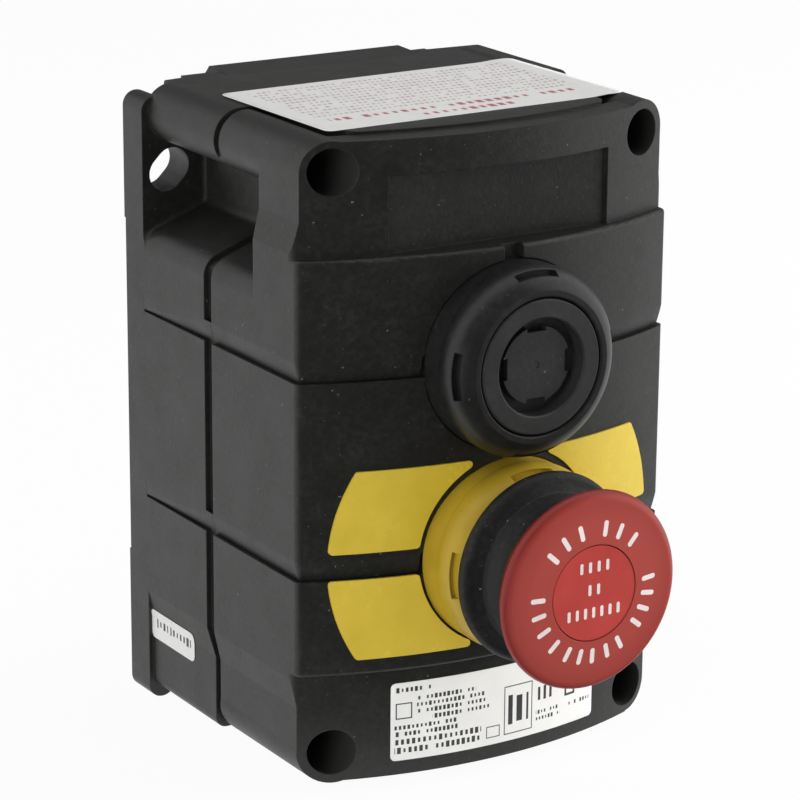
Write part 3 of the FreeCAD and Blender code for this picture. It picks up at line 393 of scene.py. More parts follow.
def boot_rubber(f):
    # Silicone rubber: deep dull black that holds dust.
    return moulded("boot_rubber", f.rubber, rough=0.55, grain=0.4, depth=0.03, edge=0.2,
                   lint=f.housing_lint, lint_share=0.9, IOR=1.42)


def seal_rubber(f):
    # Extruded sealing rubber: dull dark grey.
    return moulded("seal_rubber", f.seal, rough=0.65, grain=0.3, depth=0.01, edge=0.1, IOR=1.5)


def grey_polyamide(f):
    # Glass-filled polyamide: grey and slightly mottled.
    return moulded("grey_polyamide", f.grey, rough=0.5, grain=0.5, depth=0.01, edge=0.2, IOR=1.53)


def natural_acetal(f):
    # Turned natural acetal: milky white and waxy.
    return moulded("natural_acetal", f.acetal, rough=0.38, grain=0.6, depth=0.004, edge=0.2, IOR=1.48)


def stainless_steel(f):
    # Cold-headed stainless steel, tumbled: bright with fine all-round scratches.
    return metal("stainless_steel", f.steel, rough=0.3, stretch=(1.0, 1.0, 1.0))


def zinc_steel(f):
    # Zinc-plated rolled steel: grain along the rolling direction.
    return metal("zinc_steel", f.steel, rough=0.36, stretch=(1.0, 1.0, 0.1))


def spring_steel(f):
    # Drawn spring wire: bright steel with drawn-out marks.
    return metal("spring_steel", f.steel, rough=0.28, stretch=(1.0, 0.3, 1.0))


def turned_brass(f):
    # Turned brass: fine rings round the axis.
    return metal("turned_brass", f.brass, rough=0.3, stretch=(0.2, 1.0, 0.2))


def contact_brass(f):
    # Stamped brass strip: rolled along its length.
    return metal("contact_brass", f.brass, rough=0.34, stretch=(0.1, 1.0, 1.0))


def pad_print(f):
    # Pad-printed ink: a thin opaque white film, a little uneven.
    return moulded("pad_print", f.print_white, rough=0.4, grain=0.5, depth=0.004, edge=0.05, IOR=1.5)


def box_mask(tree, spot, x0, x1, y0, y1):
    """1 where a label's point spot lies in a rectangle, in millimetres."""
    middle = ((x0 + x1) / 2, (y0 + y1) / 2, 0.0)
    half = ((x1 - x0) / 2, (y1 - y0) / 2, 1.0)
    off = node(tree, "ShaderNodeVectorMath", {0: spot, 1: middle}, operation="SUBTRACT")
    share = node(tree, "ShaderNodeVectorMath", {0: off, 1: half}, operation="DIVIDE")
    far = node(tree, "ShaderNodeVectorMath", {0: share}, operation="ABSOLUTE")
    axes = node(tree, "ShaderNodeSeparateXYZ", {0: far}).outputs
    most = node(tree, "ShaderNodeMath", {0: axes[0], 1: axes[1]}, operation="MAXIMUM")
    return node(tree, "ShaderNodeMath", {0: most, 1: 1.0}, operation="LESS_THAN")


def row_mask(tree, spot, x0, x1, y0, y1, pitch, stroke, letter, blank):
    """Greeked lines in a rectangle: pitch apart and up to stroke high, cut into dashes letter apart whose
    height and width follow a chance of their own; a share of them is left blank."""
    row_shift, least_height, least_width, most_width = 0.37, 0.55, 0.16, 0.34
    axes = node(tree, "ShaderNodeSeparateXYZ", {0: spot}).outputs
    line = node(tree, "ShaderNodeMath", {0: axes[1], 1: 1 / pitch, 2: -y0 / pitch}, operation="MULTIPLY_ADD")
    row = node(tree, "ShaderNodeMath", {0: line}, operation="FLOOR")
    shift = node(tree, "ShaderNodeMath", {0: row, 1: row_shift}, operation="MULTIPLY")
    along = node(tree, "ShaderNodeMath", {0: axes[0], 1: 1 / letter, 2: shift}, operation="MULTIPLY_ADD")
    cell = node(tree, "ShaderNodeCombineXYZ", {0: along, 1: line})
    corner = node(tree, "ShaderNodeVectorMath", {0: cell}, operation="FLOOR")
    chance = node(tree, "ShaderNodeTexWhiteNoise", {"Vector": corner}, noise_dimensions="2D")
    inner = node(tree, "ShaderNodeVectorMath", {0: cell}, operation="FRACTION")
    off = node(tree, "ShaderNodeVectorMath", {0: inner, 1: (0.5, 0.5, 0.0)}, operation="SUBTRACT")
    far = node(tree, "ShaderNodeVectorMath", {0: off}, operation="ABSOLUTE")
    reach = node(tree, "ShaderNodeSeparateXYZ", {0: far}).outputs
    half = stroke / pitch / 2
    tall = node(tree, "ShaderNodeMapRange", {"Value": chance, "To Min": half * least_height, "To Max": half})
    wide = node(tree, "ShaderNodeMapRange", {"Value": chance, "To Min": least_width, "To Max": most_width})
    mask = box_mask(tree, spot, x0, x1, y0, y1)
    for operation, first, second in (("LESS_THAN", reach[0], wide), ("LESS_THAN", reach[1], tall),
                                     ("GREATER_THAN", chance, blank)):
        test = node(tree, "ShaderNodeMath", {0: first, 1: second}, operation=operation)
        mask = node(tree, "ShaderNodeMath", {0: mask, 1: test}, operation="MULTIPLY")
    return mask


def printed_film(name, paper, size, prints):
    """Polyester film with greeked print. size is the label's (width, height) in millimetres from its lower
    left corner. Each of prints is (ink, rows, frames): rows as row_mask takes them, and empty boxes
    (x0, x1, y0, y1, line) drawn with a line."""
    dark, light = 0.97, 1.02
    made, tree, shader = material(name, IOR=1.5, Roughness=0.42)
    uv = node(tree, "ShaderNodeUVMap", uv_map="label")
    spot = node(tree, "ShaderNodeVectorMath", {0: uv, 1: (*size, 0.0)}, operation="MULTIPLY")
    place = node(tree, "ShaderNodeTexCoord").outputs["Object"]
    cloud = node(tree, "ShaderNodeTexNoise", {"Vector": place, "Scale": 1 / (6 * MM), "Detail": 3.0})
    face = mottled(tree, paper, cloud, dark, light)
    for ink, rows, frames in prints:
        masks = [row_mask(tree, spot, *row) for row in rows]
        for x0, x1, y0, y1, line in frames:
            outer = box_mask(tree, spot, x0, x1, y0, y1)
            inner = box_mask(tree, spot, x0 + line, x1 - line, y0 + line, y1 - line)
            masks.append(node(tree, "ShaderNodeMath", {0: outer, 1: inner}, operation="SUBTRACT"))
        for mask in masks:
            face = node(tree, "ShaderNodeMix", {"Factor": mask, 6: face, 7: ink}, data_type="RGBA").outputs[2]
    bump = node(tree, "ShaderNodeBump", {"Height": cloud, "Strength": 0.4, "Distance": 0.02 * MM})
    feed(tree, shader, {"Base Color": face, "Normal": bump})
    return made


def shown(tree):
    """1 for a ray that shows a backdrop, straight to the eye, mirrored or through glass; 0 for one that
    lights."""
    ray = node(tree, "ShaderNodeLightPath").outputs
    seen = node(tree, "ShaderNodeMath", {0: ray["Is Camera Ray"], 1: ray["Is Glossy Ray"]},
                operation="MAXIMUM")
    return node(tree, "ShaderNodeMath", {0: seen, 1: ray["Is Transmission Ray"]}, operation="MAXIMUM")


def dress(finish, *names):
    """Puts a finish on CAD nodes."""
    for name in names:
        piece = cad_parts[name]
        piece.data.materials.clear()
        piece.data.materials.append(finish)


def finish_of(name):
    """Finish that a CAD node already wears."""
    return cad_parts[name].data.materials[0]


# Surfaces


def linked(name, data):
    """New object in the scene for a mesh, a lamp or a camera."""
    made = bpy.data.objects.new(name, data)
    bpy.context.scene.collection.objects.link(made)
    return made


def surface(name, points, finish, wrap=(False, False), uv=None):
    """Quad mesh through an array of points (rows, columns, 3), closed along an axis where wrap says so. uv is
    an array (rows, columns, 2) that goes into the map called label."""
    rows, columns = points.shape[:2]
    index = np.arange(rows * columns).reshape(rows, columns)
    down = np.roll(index, -1, 0)
    right = np.roll(index, -1, 1)
    both = np.roll(down, -1, 1)
    quads = np.stack([index, right, both, down], -1)
    quads = quads[:rows if wrap[0] else rows - 1, :columns if wrap[1] else columns - 1].reshape(-1, 4)
    mesh = bpy.data.meshes.new(name)
    mesh.from_pydata(points.reshape(-1, 3).tolist(), [], quads.tolist())
    mesh.polygons.foreach_set("use_smooth", np.ones(len(mesh.polygons), bool))
    if uv is not None:
        layer = mesh.uv_layers.new(name="label")
        layer.data.foreach_set("uv", uv.reshape(-1, 2)[quads.ravel()].astype(np.float32).ravel())
    mesh.materials.append(finish)
    return linked(name, mesh)


def label_grid(width, height, corner):
    """Rounded rectangle as a grid: across and up in metres, and their shares of the sheet. Rows crowd towards
    the two ends; near them each row is drawn in by corner less the chord of a circle of radius corner."""
    rows, columns = 33, 49
    level = np.sin(np.linspace(-math.pi / 2, math.pi / 2, rows)) * height / 2
    over = np.clip(np.abs(level) - (height / 2 - corner), 0, corner)
    half = width / 2 - corner + np.sqrt(np.clip(corner ** 2 - over ** 2, 0, None))
    across = np.linspace(-1, 1, columns)[None, :] * half[:, None]
    up = np.broadcast_to(level[:, None], across.shape)
    return across, up, np.stack([across / width + 0.5, up / height + 0.5], -1)


def thicken(piece, amount):
    """Gives a sheet its thickness on its outer side."""
    wall = piece.modifiers.new("thickness", "SOLIDIFY")
    wall.thickness = amount
    wall.offset = 1.0


def bow_depth(x, size, corner_y):
    """Y of a bowed end zone at x: a circular arc through both corners that rises front_bow in the middle."""
    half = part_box("front_cover")[1].x
    radius = (half ** 2 + size.front_bow ** 2) / (2 * size.front_bow)
    return corner_y - (np.sqrt(radius ** 2 - x ** 2) - (radius - size.front_bow))


def lathe(name, profile, finish, level, steps=160):
    """Closed profile of (radius, y) turned about the actuator axis at height level."""
    turn = np.linspace(0, 2 * math.pi, steps, endpoint=False)
    radius = profile[:, 0][:, None]
    depth = np.broadcast_to(profile[:, 1][:, None], (len(profile), steps))
    points = np.stack([radius * np.cos(turn), depth, level + radius * np.sin(turn)], -1)
    return surface(name, points, finish, wrap=(True, True))


def rod(name, rings, finish):
    """Closed solid through rings of points (rings, points, 3). A ring drawn together at its middle closes
    each end, and the points that meet there are merged."""
    touching = 0.0001 * MM
    first, last = [np.broadcast_to(rings[i].mean(0), (1,) + rings.shape[1:]) for i in (0, -1)]
    made = surface(name, np.concatenate([first, rings, last]), finish, wrap=(False, True))
    joined = bmesh.new()
    joined.from_mesh(made.data)
    bmesh.ops.remove_doubles(joined, verts=joined.verts, dist=touching)
    joined.to_mesh(made.data)
    joined.free()
    return made


def spring(name, finish, box, wire, turns):
    """Coil spring that fills a node's box: a round wire along a helix that climbs least at both closed ends
    and opens out smoothly between them."""
    turn_steps, rim_steps = 40, 10
    closed_turns, opening_turns = 0.5, 0.5
    closed_climb = 0.18
    low, high = np.array(box[0]), np.array(box[1])
    middle = (low + high) / 2
    radius = (high[0] - low[0]) / 2 - wire / 2
    along = np.linspace(0, 1, int(turns * turn_steps))
    from_end = np.minimum(along, 1 - along) * turns
    open_share = np.clip((from_end - closed_turns) / opening_turns, 0, 1)
    rise = np.concatenate([[0.0], np.cumsum((open_share[1:] + open_share[:-1]) / 2 + closed_climb)])
    y = low[1] + wire / 2 + rise / rise[-1] * (high[1] - low[1] - wire)
    turn = 2 * math.pi * turns * along
    rim = np.linspace(0, 2 * math.pi, rim_steps, endpoint=False)
    reach = radius + wire / 2 * np.cos(rim)[None, :]
    points = np.stack([middle[0] + reach * np.cos(turn)[:, None],
                       y[:, None] + wire / 2 * np.sin(rim)[None, :],
                       middle[2] + reach * np.sin(turn)[:, None]], -1)
    return rod(name, points, finish)


def cover_half(bezel_radius, s):
    """Left half of the cover's plan from the parting to a bezel: the straight wall, a round corner and the
    bow. The corner's circle touches the wall and, from inside, the bow's circle. Gives points (x, y), outward
    directions and the shares of the groove slope's height and reach, which are whole here."""
    wall_steps, corner_steps, bow_steps = 24, 13, 59
    bezel_gap = 0.25 * MM
    low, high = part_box("front_cover")
    bow = (high.x ** 2 + s.front_bow ** 2) / (2 * s.front_bow)
    bow_centre = np.array([0.0, low.y + bow])
    corner_x = s.corner_radius - high.x
    corner_drop = math.sqrt((bow - s.corner_radius) ** 2 - corner_x ** 2)
    corner_centre = bow_centre + [corner_x, -corner_drop]
    meet = math.atan2(-corner_x, corner_drop)
    end = math.asin((bezel_radius + bezel_gap) / bow)
    wall_y = np.linspace(high.y - HAIR, corner_centre[1], wall_steps)
    wall = np.stack([np.full_like(wall_y, -high.x), wall_y], -1)
    corner_turn = np.linspace(math.pi / 2, meet, corner_steps + 1)[1:]
    bow_turn = np.linspace(meet, end, bow_steps + 1)[1:]
    turn = np.concatenate([np.full(wall_steps, math.pi / 2), corner_turn, bow_turn])
    out = np.stack([-np.sin(turn), -np.cos(turn)], -1)
    corner = corner_centre + s.corner_radius * out[wall_steps:-bow_steps]
    front = bow_centre + bow * out[-bow_steps:]
    return np.concatenate([wall, corner, front]), out, np.ones((len(out), 2))


def base_side(s):
    """Left wall of the base from the rail to the parting. The groove's slope almost runs out at the rail: its
    height there is a tenth of the whole, its reach two fifths."""
    steps = 30
    rail_shares, whole = (0.1, 0.4), (1.0, 1.0)
    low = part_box("rear_base")[0]
    y = np.linspace(-s.rail - HAIR, low.y + HAIR, steps)
    points = np.stack([np.full_like(y, low.x), y], -1)
    return points, np.broadcast_to([-1.0, 0.0], points.shape), np.linspace(rail_shares, whole, steps)


def flat_recess(source, s):
    """Cover with a flat floor in its nameplate recess, as arrays: points, triangles and the direction of each
    triangle's corners. The points that lie on the bowed floor, a circular arc sunk below the front, all move
    back to one distance from the wall, and the triangles between them look straight ahead. Points that meet
    are merged, and triangles without area dropped."""
    slack = 0.03 * MM
    decimals = 7
    points = np.empty(len(source.vertices) * 3, np.float32)
    source.vertices.foreach_get("co", points)
    points = points.reshape(-1, 3)
    corners = np.empty(len(source.loops), np.int32)
    source.loops.foreach_get("vertex_index", corners)
    facing = np.empty(len(source.loops) * 3, np.float32)
    source.corner_normals.foreach_get("vector", facing)
    facing = facing.reshape(-1, 3, 3)
    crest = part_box("front_cover")[0].y + s.end_setback
    bowed = bow_depth(points[:, 0], s, crest + s.front_bow + s.recess_sunk)
    half = np.array([s.recess_width / 2, slack, s.recess_height / 2])
    middle = np.stack([np.zeros_like(bowed), bowed, np.full_like(bowed, s.ledge_z + half[2])], -1)
    floor = (np.abs(points - middle) < half + slack).all(1)
    points[floor, 1] = -s.recess_floor
    facing[floor[corners].reshape(-1, 3).all(1)] = (0, -1, 0)
    points, merged = np.unique(np.round(points, decimals), axis=0, return_inverse=True)
    triangles = merged.ravel()[corners].reshape(-1, 3)
    whole = (triangles != np.roll(triangles, 1, 1)).all(1)
    return points, triangles[whole], facing[whole].reshape(-1, 3)


def groove_slope(name, finish, plan, level, s):
    """Long slope in a shiplap groove: a closed profile carried along the wall. Flush with the wall at the
    groove's upper edge, it bends away at a share of its whole height and falls as a power of the way down to
    a share of its reach at the lower edge; behind, it keeps clear of the groove's floor and upper side."""
    steps = 14
    bend_start, bend_power = 0.99, 1.25
    sharp = math.radians(30)
    points, out, shares = plan
    bottom = level - s.groove_height / 2 + s.groove_crack
    top = level + s.groove_height / 2
    way = np.linspace(0, 1, steps)[None, :]
    height = shares[:, :1] * (top - bottom) * bend_start
    reach = shares[:, 1:] * s.groove_reach
    edge = np.ones_like(height)
    rise = np.concatenate([top * edge, bottom + height * (1 - way), bottom * edge,
                           (top - s.groove_floor) * edge], 1)
    back = s.groove_floor * edge
    sink = np.concatenate([0 * edge, reach * way ** bend_power, back, back], 1)
    flat = points[:, None, :] - out[:, None, :] * sink[:, :, None]
    grid = np.concatenate([flat, rise[:, :, None]], -1)
    piece = rod(name, grid, finish)
    piece.data.set_sharp_from_angle(angle=sharp)
    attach(piece, "enclosure")


# Operators


class STATION_OT_housing(bpy.types.Operator):
    """Finish the two shells and the legend plates"""
    bl_idname = "station.housing"
    bl_label = "Housing"

    def execute(self, context):
        f = context.scene.station_finish
        dress(housing_polyester(f, context.scene.station_sizes), "rear_base", "front_cover")
        dress(legend_laminate(f), "legend_plates")
        return {"FINISHED"}


class STATION_OT_recess(bpy.types.Operator):
    """Give the cover's nameplate recess its flat floor"""
    bl_idname = "station.recess"
    bl_label = "Recess"

    def execute(self, context):
        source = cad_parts["front_cover"].data
        points, triangles, facing = flat_recess(source, context.scene.station_sizes)
        mesh = bpy.data.meshes.new("flat_recess_cover")
        mesh.from_pydata(points.tolist(), [], triangles.tolist())
        mesh.polygons.foreach_set("use_smooth", np.ones(len(mesh.polygons), bool))
        mesh.normals_split_custom_set(facing.tolist())
        mesh.materials.append(finish_of("front_cover"))
        piece = linked("flat_recess_cover", mesh)
        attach(piece, "enclosure")
        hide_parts("front_cover")
        return {"FINISHED"}


class STATION_OT_grooves(bpy.types.Operator):
    """Shape the long slopes of the shiplap grooves"""
    bl_idname = "station.grooves"
    bl_label = "Grooves"

    def execute(self, context):
        s = context.scene.station_sizes
        finish = finish_of("rear_base")
        for word, bezel in (("upper", "pushbutton_bezel"), ("lower", "estop_bezel")):
            low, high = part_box(bezel)
            level = (low.z + high.z) / 2
            plans = {"cover": cover_half(high.x, s), "base": base_side(s)}
            for shell, (points, out, shares) in plans.items():
                groove_slope("%s_left_%s_slope" % (word, shell), finish, (points, out, shares), level, s)
                mirrored = (points[::-1] * (-1, 1), out[::-1] * (-1, 1), shares[::-1])
                groove_slope("%s_right_%s_slope" % (word, shell), finish, mirrored, level, s)
        return {"FINISHED"}


class STATION_OT_actuators(bpy.types.Operator):
    """Finish the button, the mushroom and their rings"""
    bl_idname = "station.actuators"
    bl_label = "Actuators"

    def execute(self, context):
        f = context.scene.station_finish
        dress(satin_polyamide(f), "pushbutton_bezel", "pushbutton_barrel")
        dress(cap_polyamide(f), "pushbutton_cap")
        dress(yellow_polyamide(f), "estop_bezel", "estop_barrel")
        dress(painted_light_red_polyamide(f), "estop_head")
        dress(red_polyamide(f), "estop_centre_disc")
        dress(natural_acetal(f), "pushbutton_stem", "estop_stem")
        dress(grey_polyamide(f), "pushbutton_nut", "estop_nut")
        dress(seal_rubber(f), "pushbutton_seal", "estop_seal")
        dress(spring_steel(f), "estop_latch_clip")
        return {"FINISHED"}


class STATION_OT_fittings(bpy.types.Operator):
    """Finish the closing screws and the contact blocks"""
    bl_idname = "station.fittings"
    bl_label = "Fittings"

    def execute(self, context):
        f = context.scene.station_finish
        dress(stainless_steel(f), "cover_screws")
        dress(finish_of("pushbutton_seal"), "cover_gasket", "screw_washers")
        dress(turned_brass(f), "threaded_inserts")
        dress(zinc_steel(f), "contact_carrier", "carrier_screws", "upper_terminal_screws",
              "lower_terminal_screws")
        dress(finish_of("pushbutton_nut"), "upper_contact_housing", "lower_contact_housing")
        dress(finish_of("pushbutton_stem"), "upper_contact_plunger", "lower_contact_plunger")
        dress(contact_brass(f), "upper_contact_strips", "lower_contact_strips", "upper_contact_bridge",
              "lower_contact_bridge")
        return {"FINISHED"}


class STATION_OT_boot(bpy.types.Operator):
    """Make the rubber boot that folds under the mushroom"""
    bl_idname = "station.boot"
    bl_label = "Boot"

    def execute(self, context):
        f = context.scene.station_finish
        low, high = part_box("estop_boot")
        outer = (high.x - low.x) / 2
        height = high.y - low.y
        level = (high.z + low.z) / 2
        wall = 1.5 * MM
        neck_inset = 3.9 * MM
        neck = outer - neck_inset
        roll_height = 3.6 * MM
        swell, waves = 0.35 * MM, 1.1
        crease = 0.06
        steps = 90
        # Outside: a rolled flange whose section is half a circle, a tight crease where the radius falls
        # straight to the neck, then the neck with one shallow cosine wave. share runs from the rear to the
        # front.
        share = np.linspace(0, 1, steps)
        roll = roll_height / height
        bulge = np.sqrt(np.clip(1 - ((share - roll / 2) / (roll / 2)) ** 2, 0, 1))
        flange = outer - roll_height / 2 * (1 - bulge)
        wave = neck + swell * np.cos((share - roll) / (1 - roll) * 2 * math.pi * waves)
        fade = np.clip((share - roll) / crease, 0, 1)
        radius = np.where(share < roll, flange, (outer - roll_height / 2) * (1 - fade) + wave * fade)
        outside = np.stack([radius, high.y - share * height], -1)
        inside = np.stack([np.minimum(radius - wall, neck - wall), high.y - share * height], -1)[::-1]
        piece = lathe("boot", np.concatenate([outside, inside]), boot_rubber(f), level)
        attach(piece, "enclosure")
        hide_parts("estop_boot")
        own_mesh(piece)
        return {"FINISHED"}


class STATION_OT_springs(bpy.types.Operator):
    """Wind the return spring and both contact springs"""
    bl_idname = "station.springs"
    bl_label = "Springs"

    def execute(self, context):
        finish = finish_of("estop_latch_clip")
        coils = (("pushbutton_return_spring", "pushbutton_press", 1.3, 6.5),
                 ("upper_contact_spring", "upper_contact_slide", 0.8, 5.5),
                 ("lower_contact_spring", "lower_contact_slide", 0.8, 5.5))
        for name, joint, wire, turns in coils:
            low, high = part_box(name)
            piece = spring("wound_" + name, finish, (low, high), wire * MM, turns)
            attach(piece, "enclosure")
            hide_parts(name)
            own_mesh(piece)
        return {"FINISHED"}


class STATION_OT_labels(bpy.types.Operator):
    """Lay the three labels"""
    bl_idname = "station.labels"
    bl_label = "Labels"

    def execute(self, context):
        f = context.scene.station_finish
        s = context.scene.station_sizes
        self.top_label(f, s)
        self.rating_label(f, s)
        self.side_label(f, s)
        return {"FINISHED"}

    def top_label(self, f, s):
        """Flat skewed sheet on the top, which lifts slightly to pass over the right corner tube."""
        width, depth = s.top_label_width, s.top_label_depth
        size = (width / MM, depth / MM)
        # Each row of print has its left, right, bottom and top, the pitch of its lines, their height, the
        # pitch of the dashes and the share of them left blank, as for the other two labels.
        fine = [(4.5, 65.5, 2.4, 29.4, 2.25, 1.0, 1.25, 0.16)]
        large = [(24.0, 46.5, 35.2, 38.4, 3.2, 2.3, 2.2, 0.0), (5.5, 64.5, 30.8, 34.0, 3.2, 2.3, 2.2, 0.14)]
        prints = [(f.grey_ink, fine, []), (f.red_ink, large, [])]
        finish = printed_film("top_label_film", f.paper, size, prints)
        across, up, uv = label_grid(width, depth, corner=1.6 * MM)
        turn = s.top_label_turn
        x = s.top_label_x + across * math.cos(turn) - up * math.sin(turn)
        y = s.top_label_y + across * math.sin(turn) + up * math.cos(turn)
        rise, rise_start, rise_run = 0.24 * MM, 27 * MM, 5 * MM
        lift = s.lay + rise * np.clip((x - rise_start) / rise_run, 0, 1) ** 2
        # The print reads from the wall side, so the sheet's own axes are turned half round.
        piece = surface("top_label", np.stack([x, y, s.pad_top + lift], -1), finish, uv=1 - uv)
        thicken(piece, s.film)
        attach(piece, "enclosure")

    def rating_label(self, f, s):
        """Sheet wrapped on the bowed lower end zone."""
        width, height = s.rating_width, s.rating_height
        size = (width / MM, height / MM)
        rows = [(1.0, 8.6, 14.2, 15.7, 1.5, 1.1, 0.95, 0.1), (5.5, 18.3, 12.2, 13.6, 1.4, 1.0, 0.9, 0.14),
                (5.4, 20.8, 9.4, 12.2, 1.4, 1.0, 0.9, 0.16), (8.7, 21.6, 7.9, 9.3, 1.4, 1.0, 0.9, 0.14),
                (0.8, 14.2, 4.9, 7.7, 1.4, 1.0, 0.9, 0.2), (0.8, 19.6, 1.2, 4.8, 1.8, 1.35, 1.15, 0.08),
                (26.0, 31.0, 2.4, 10.8, 8.4, 6.4, 2.5, 0.0), (33.0, 37.5, 6.2, 10.8, 4.6, 4.2, 1.5, 0.0),
                (33.0, 39.4, 2.4, 5.2, 1.4, 0.9, 0.8, 0.12), (40.6, 47.6, 3.6, 5.0, 1.4, 0.9, 0.8, 0.12)]
        frames = [(1.0, 4.4, 8.8, 12.2, 0.25), (25.0, 32.0, 1.4, 11.8, 0.22), (20.8, 24.0, 1.5, 4.0, 0.2),
                  (40.6, 43.4, 6.2, 10.2, 0.5), (44.8, 47.6, 7.4, 10.4, 0.15)]
        finish = printed_film("rating_label_film", f.paper, size, [(f.ink, rows, frames)])
        across, up, uv = label_grid(width, height, corner=1.0 * MM)
        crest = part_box("front_cover")[0].y + s.end_setback
        y = bow_depth(across, s, crest + s.front_bow) - s.lay
        piece = surface("rating_label", np.stack([across, y, s.rating_z + up], -1), finish, uv=uv)
        thicken(piece, s.film)
        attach(piece, "enclosure")

    def side_label(self, f, s):
        """Small sheet on the left wall that follows the slanted waist."""
        width, height = s.side_label_width, s.side_label_height
        size = (width / MM, height / MM)
        rows = [(2.4, 7.2, 2.5, 4.7, 2.2, 2.0, 1.6, 0.0), (8.2, 17.2, 2.5, 4.7, 2.2, 2.0, 1.5, 0.0)]
        finish = printed_film("side_label_film", f.paper, size, [(f.ink, rows, [])])
        across, up, uv = label_grid(width, height, corner=1.3 * MM)
        z = s.side_label_z + up
        slant = np.clip((np.abs(z) - s.waist_start) / s.waist_height, 0, 1) * s.waist_inset
        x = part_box("rear_base")[0].x + slant - s.lay
        # Seen from the left, the wall's front edge is on the right, so across runs towards the front.
        piece = surface("side_label", np.stack([x, s.side_label_y - across, z], -1), finish, uv=uv)
        thicken(piece, s.film)
        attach(piece, "enclosure")


class STATION_OT_marks(bpy.types.Operator):
    """Print the plain white marks on the mushroom"""
    bl_idname = "station.marks"
    bl_label = "Marks"

    def execute(self, context):
        f = context.scene.station_finish
        s = context.scene.station_sizes
        finish = pad_print(f)
        low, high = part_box("estop_head")
        level = (low.z + high.z) / 2
        face = low.y
        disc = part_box("estop_centre_disc")[1].x
        disc_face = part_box("estop_centre_disc")[0].y
        fall, fall_run = 0.6 * MM, 8.2 * MM
        small_height, small_width = 2.2 * MM, 0.7 * MM
        upper = (138, 121, 104, 79, 63, 46)
        lower = (177, 192, 208, 226, 243, 257, 270, 285, 299, 322, 336, 350, 364)
        for number, turn in enumerate(upper + lower):
            heading = math.radians(turn)
            x = s.mark_radius * math.cos(heading)
            z = s.mark_radius * math.sin(heading)
            self.mark("ring_mark_%02d" % number, finish, (x, level + z), heading, s.mark_height, s.mark_width,
                      lambda r: face + fall * np.clip((r - disc) / fall_run, 0, 1), level)
        rows = ((5.3, 4, 2.0), (0.7, 2, 2.0), (-3.9, 7, 1.9))
        for row, (rise, count, pitch) in enumerate(rows):
            for step in range(count):
                x = (step - (count - 1) / 2) * pitch * MM
                self.mark("disc_mark_%d_%d" % (row, step), finish, (x, level + rise * MM), math.pi / 2,
                          small_height, small_width, lambda r: np.full_like(r, disc_face), level)
        return {"FINISHED"}

    def mark(self, name, finish, centre, heading, tall, wide, face, level):
        """Pill-shaped film of ink: a rounded rectangle with its long side along heading, laid on the face
        whose y at a distance r from the axis is face(r)."""
        bed, ink = 0.015 * MM, 0.02 * MM
        round_share = 0.45
        across, up, _ = label_grid(wide, tall, wide * round_share)
        x = centre[0] + up * math.cos(heading) + across * math.sin(heading)
        z = centre[1] + up * math.sin(heading) - across * math.cos(heading)
        y = face(np.hypot(x, z - level)) - bed
        piece = surface(name, np.stack([x, y, z], -1), finish)
        thicken(piece, ink)
        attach(piece, "estop_knob")


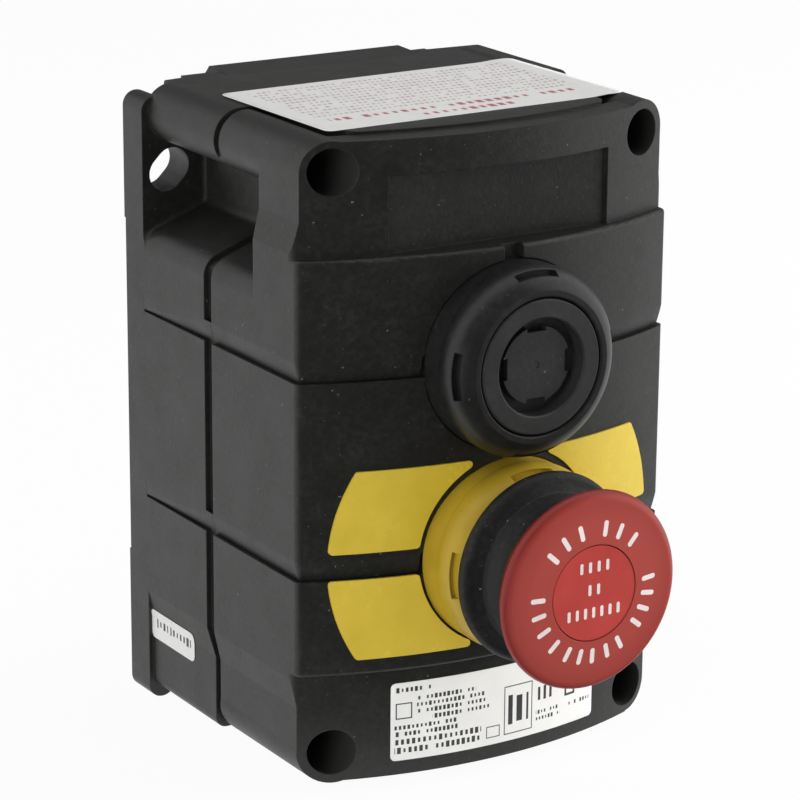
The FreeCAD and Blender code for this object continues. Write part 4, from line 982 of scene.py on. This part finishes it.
class STATION_OT_stage(bpy.types.Operator):
    """Set the floor, the light and the camera"""
    bl_idname = "station.stage"
    bl_label = "Stage"

    def execute(self, context):
        s = context.scene.station_stage
        self.camera(context, s)
        self.world(context, s)
        self.floor(s)
        self.cards(s)
        self.lamp("left_lamp", s.left_place, s.side_size, s.left_lamp)
        self.lamp("right_lamp", s.right_place, s.side_size, s.right_lamp)
        self.lamp("top_lamp", s.top_place, s.top_size, s.top_lamp)
        context.scene.view_settings.view_transform = "Standard"
        return {"FINISHED"}

    def camera(self, context, s):
        """Camera at the eye: its back points away from the station by azimuth and elevation, and it rolls."""
        a, e, r = s.azimuth, s.elevation, s.roll
        back = np.array([-math.sin(a) * math.cos(e), -math.cos(a) * math.cos(e), math.sin(e)])
        right = np.cross(-back, [0, 0, 1])
        right /= np.linalg.norm(right)
        up = np.cross(right, -back)
        across = math.cos(r) * right + math.sin(r) * up
        upward = -math.sin(r) * right + math.cos(r) * up
        data = bpy.data.cameras.new("camera")
        data.angle = s.view_angle
        made = linked("camera", data)
        turn = Matrix(np.column_stack([across, upward, back]).tolist()).to_4x4()
        made.matrix_world = Matrix.Translation(s.eye) @ turn
        context.scene.camera = made

    def world(self, context, s):
        """White to the eye and in reflections, a plain soft level as light."""
        made = bpy.data.worlds.new("studio")
        tree = empty_tree(made)
        level = node(tree, "ShaderNodeMapRange", {"Value": shown(tree), "To Min": s.ambient, "To Max": 1.0})
        back = node(tree, "ShaderNodeBackground", {"Color": (1, 1, 1, 1), "Strength": level})
        node(tree, "ShaderNodeOutputWorld", {"Surface": back})
        context.scene.world = made

    def floor(self, s):
        """Pale floor under the station: mostly plain white to the eye and in reflections, with a soft
        shadow. Its half side is in metres."""
        made = bpy.data.materials.new("studio_floor")
        tree = empty_tree(made)
        share = node(tree, "ShaderNodeMath", {0: shown(tree), 1: s.floor_white}, operation="MULTIPLY")
        matt = node(tree, "ShaderNodeBsdfDiffuse", {"Color": s.floor_tint})
        white = node(tree, "ShaderNodeEmission", {"Color": (1, 1, 1, 1), "Strength": 1.0})
        both = node(tree, "ShaderNodeMixShader", {0: share, 1: matt, 2: white})
        node(tree, "ShaderNodeOutputMaterial", {"Surface": both})
        reach = 2.0
        side = np.linspace(-reach, reach, 3)
        x, y = np.meshgrid(side, side)
        points = np.stack([x, y, np.full_like(x, CAD_BOX[0].z)], -1)
        surface("floor", points, made)

    def cards(self, s):
        """Cards that only reflections see: a dark one on the table and upright in front, so that the front
        doesn't mirror the white room, and a grey one behind for the top. The table's card widens evenly
        towards the front. Places are in metres."""
        dark = material("dark_card", Base_Color=s.dark_card, Roughness=1.0)[0]
        grey = material("grey_card", Base_Color=s.grey_card, Roughness=1.0)[0]
        table = CAD_BOX[0].z + 1 * MM
        near_y, front_y, back_y = -0.095, -0.85, 0.9
        table_left, near_width, spread = -0.5, 0.62, 0.4
        front_left, front_right, front_top = -4.0, 0.6, 2.5
        back_left, back_right, back_top = -0.25, 2.4, 1.5
        share, run = np.meshgrid(np.linspace(0, 1, 3), np.linspace(0, 1, 3))
        y = near_y + (front_y - near_y) * run
        x = table_left + share * (near_width + spread * run)
        low = surface("table_card", np.stack([x, y, np.full_like(y, table)], -1), dark)
        x, z = np.meshgrid(np.linspace(front_left, front_right, 3), np.linspace(table, front_top, 3))
        front = surface("front_card", np.stack([x, np.full_like(x, front_y), z], -1), dark)
        x, z = np.meshgrid(np.linspace(back_left, back_right, 3), np.linspace(table, back_top, 3))
        back = surface("back_card", np.stack([x, np.full_like(x, back_y), z], -1), grey)
        for card in (low, front, back):
            card.visible_camera = False
            card.visible_diffuse = False
            card.visible_shadow = False

    def lamp(self, name, place, size, watts):
        """Square soft lamp that faces the station."""
        data = bpy.data.lights.new(name, "AREA")
        data.size = size
        data.energy = watts
        made = linked(name, data)
        turn = (-Vector(place)).to_track_quat("-Z", "Y").to_matrix().to_4x4()
        made.matrix_world = Matrix.Translation(place) @ turn
        made.visible_glossy = False


class STATION_PT_panel(bpy.types.Panel):
    """Lists the station's steps and settings"""
    bl_idname = "STATION_PT_panel"
    bl_label = "Control station"
    bl_space_type = "VIEW_3D"
    bl_region_type = "UI"
    bl_category = "Station"

    def draw(self, context):
        for step in STEPS:
            self.layout.operator("station." + step)
        for group in (context.scene.station_finish, context.scene.station_sizes, context.scene.station_stage):
            box = self.layout.box()
            for name in group.__annotations__:
                box.prop(group, name)


STEPS = ("housing", "recess", "grooves", "actuators", "fittings", "boot", "springs", "labels", "marks",
         "stage")
CLASSES = (StationFinish, StationSizes, StationStage, STATION_OT_housing, STATION_OT_recess,
           STATION_OT_grooves, STATION_OT_actuators, STATION_OT_fittings, STATION_OT_boot,
           STATION_OT_springs, STATION_OT_labels, STATION_OT_marks, STATION_OT_stage, STATION_PT_panel)
GROUPS = {"station_finish": StationFinish, "station_sizes": StationSizes, "station_stage": StationStage}


def register():
    for cls in CLASSES:
        bpy.utils.register_class(cls)
    for name, group in GROUPS.items():
        setattr(bpy.types.Scene, name, bpy.props.PointerProperty(type=group))


def unregister():
    for name in GROUPS:
        delattr(bpy.types.Scene, name)
    for cls in reversed(CLASSES):
        bpy.utils.unregister_class(cls)


def main():
    register()
    for step in STEPS:
        getattr(bpy.ops.station, step)()


if __name__ == "__main__":
    main()
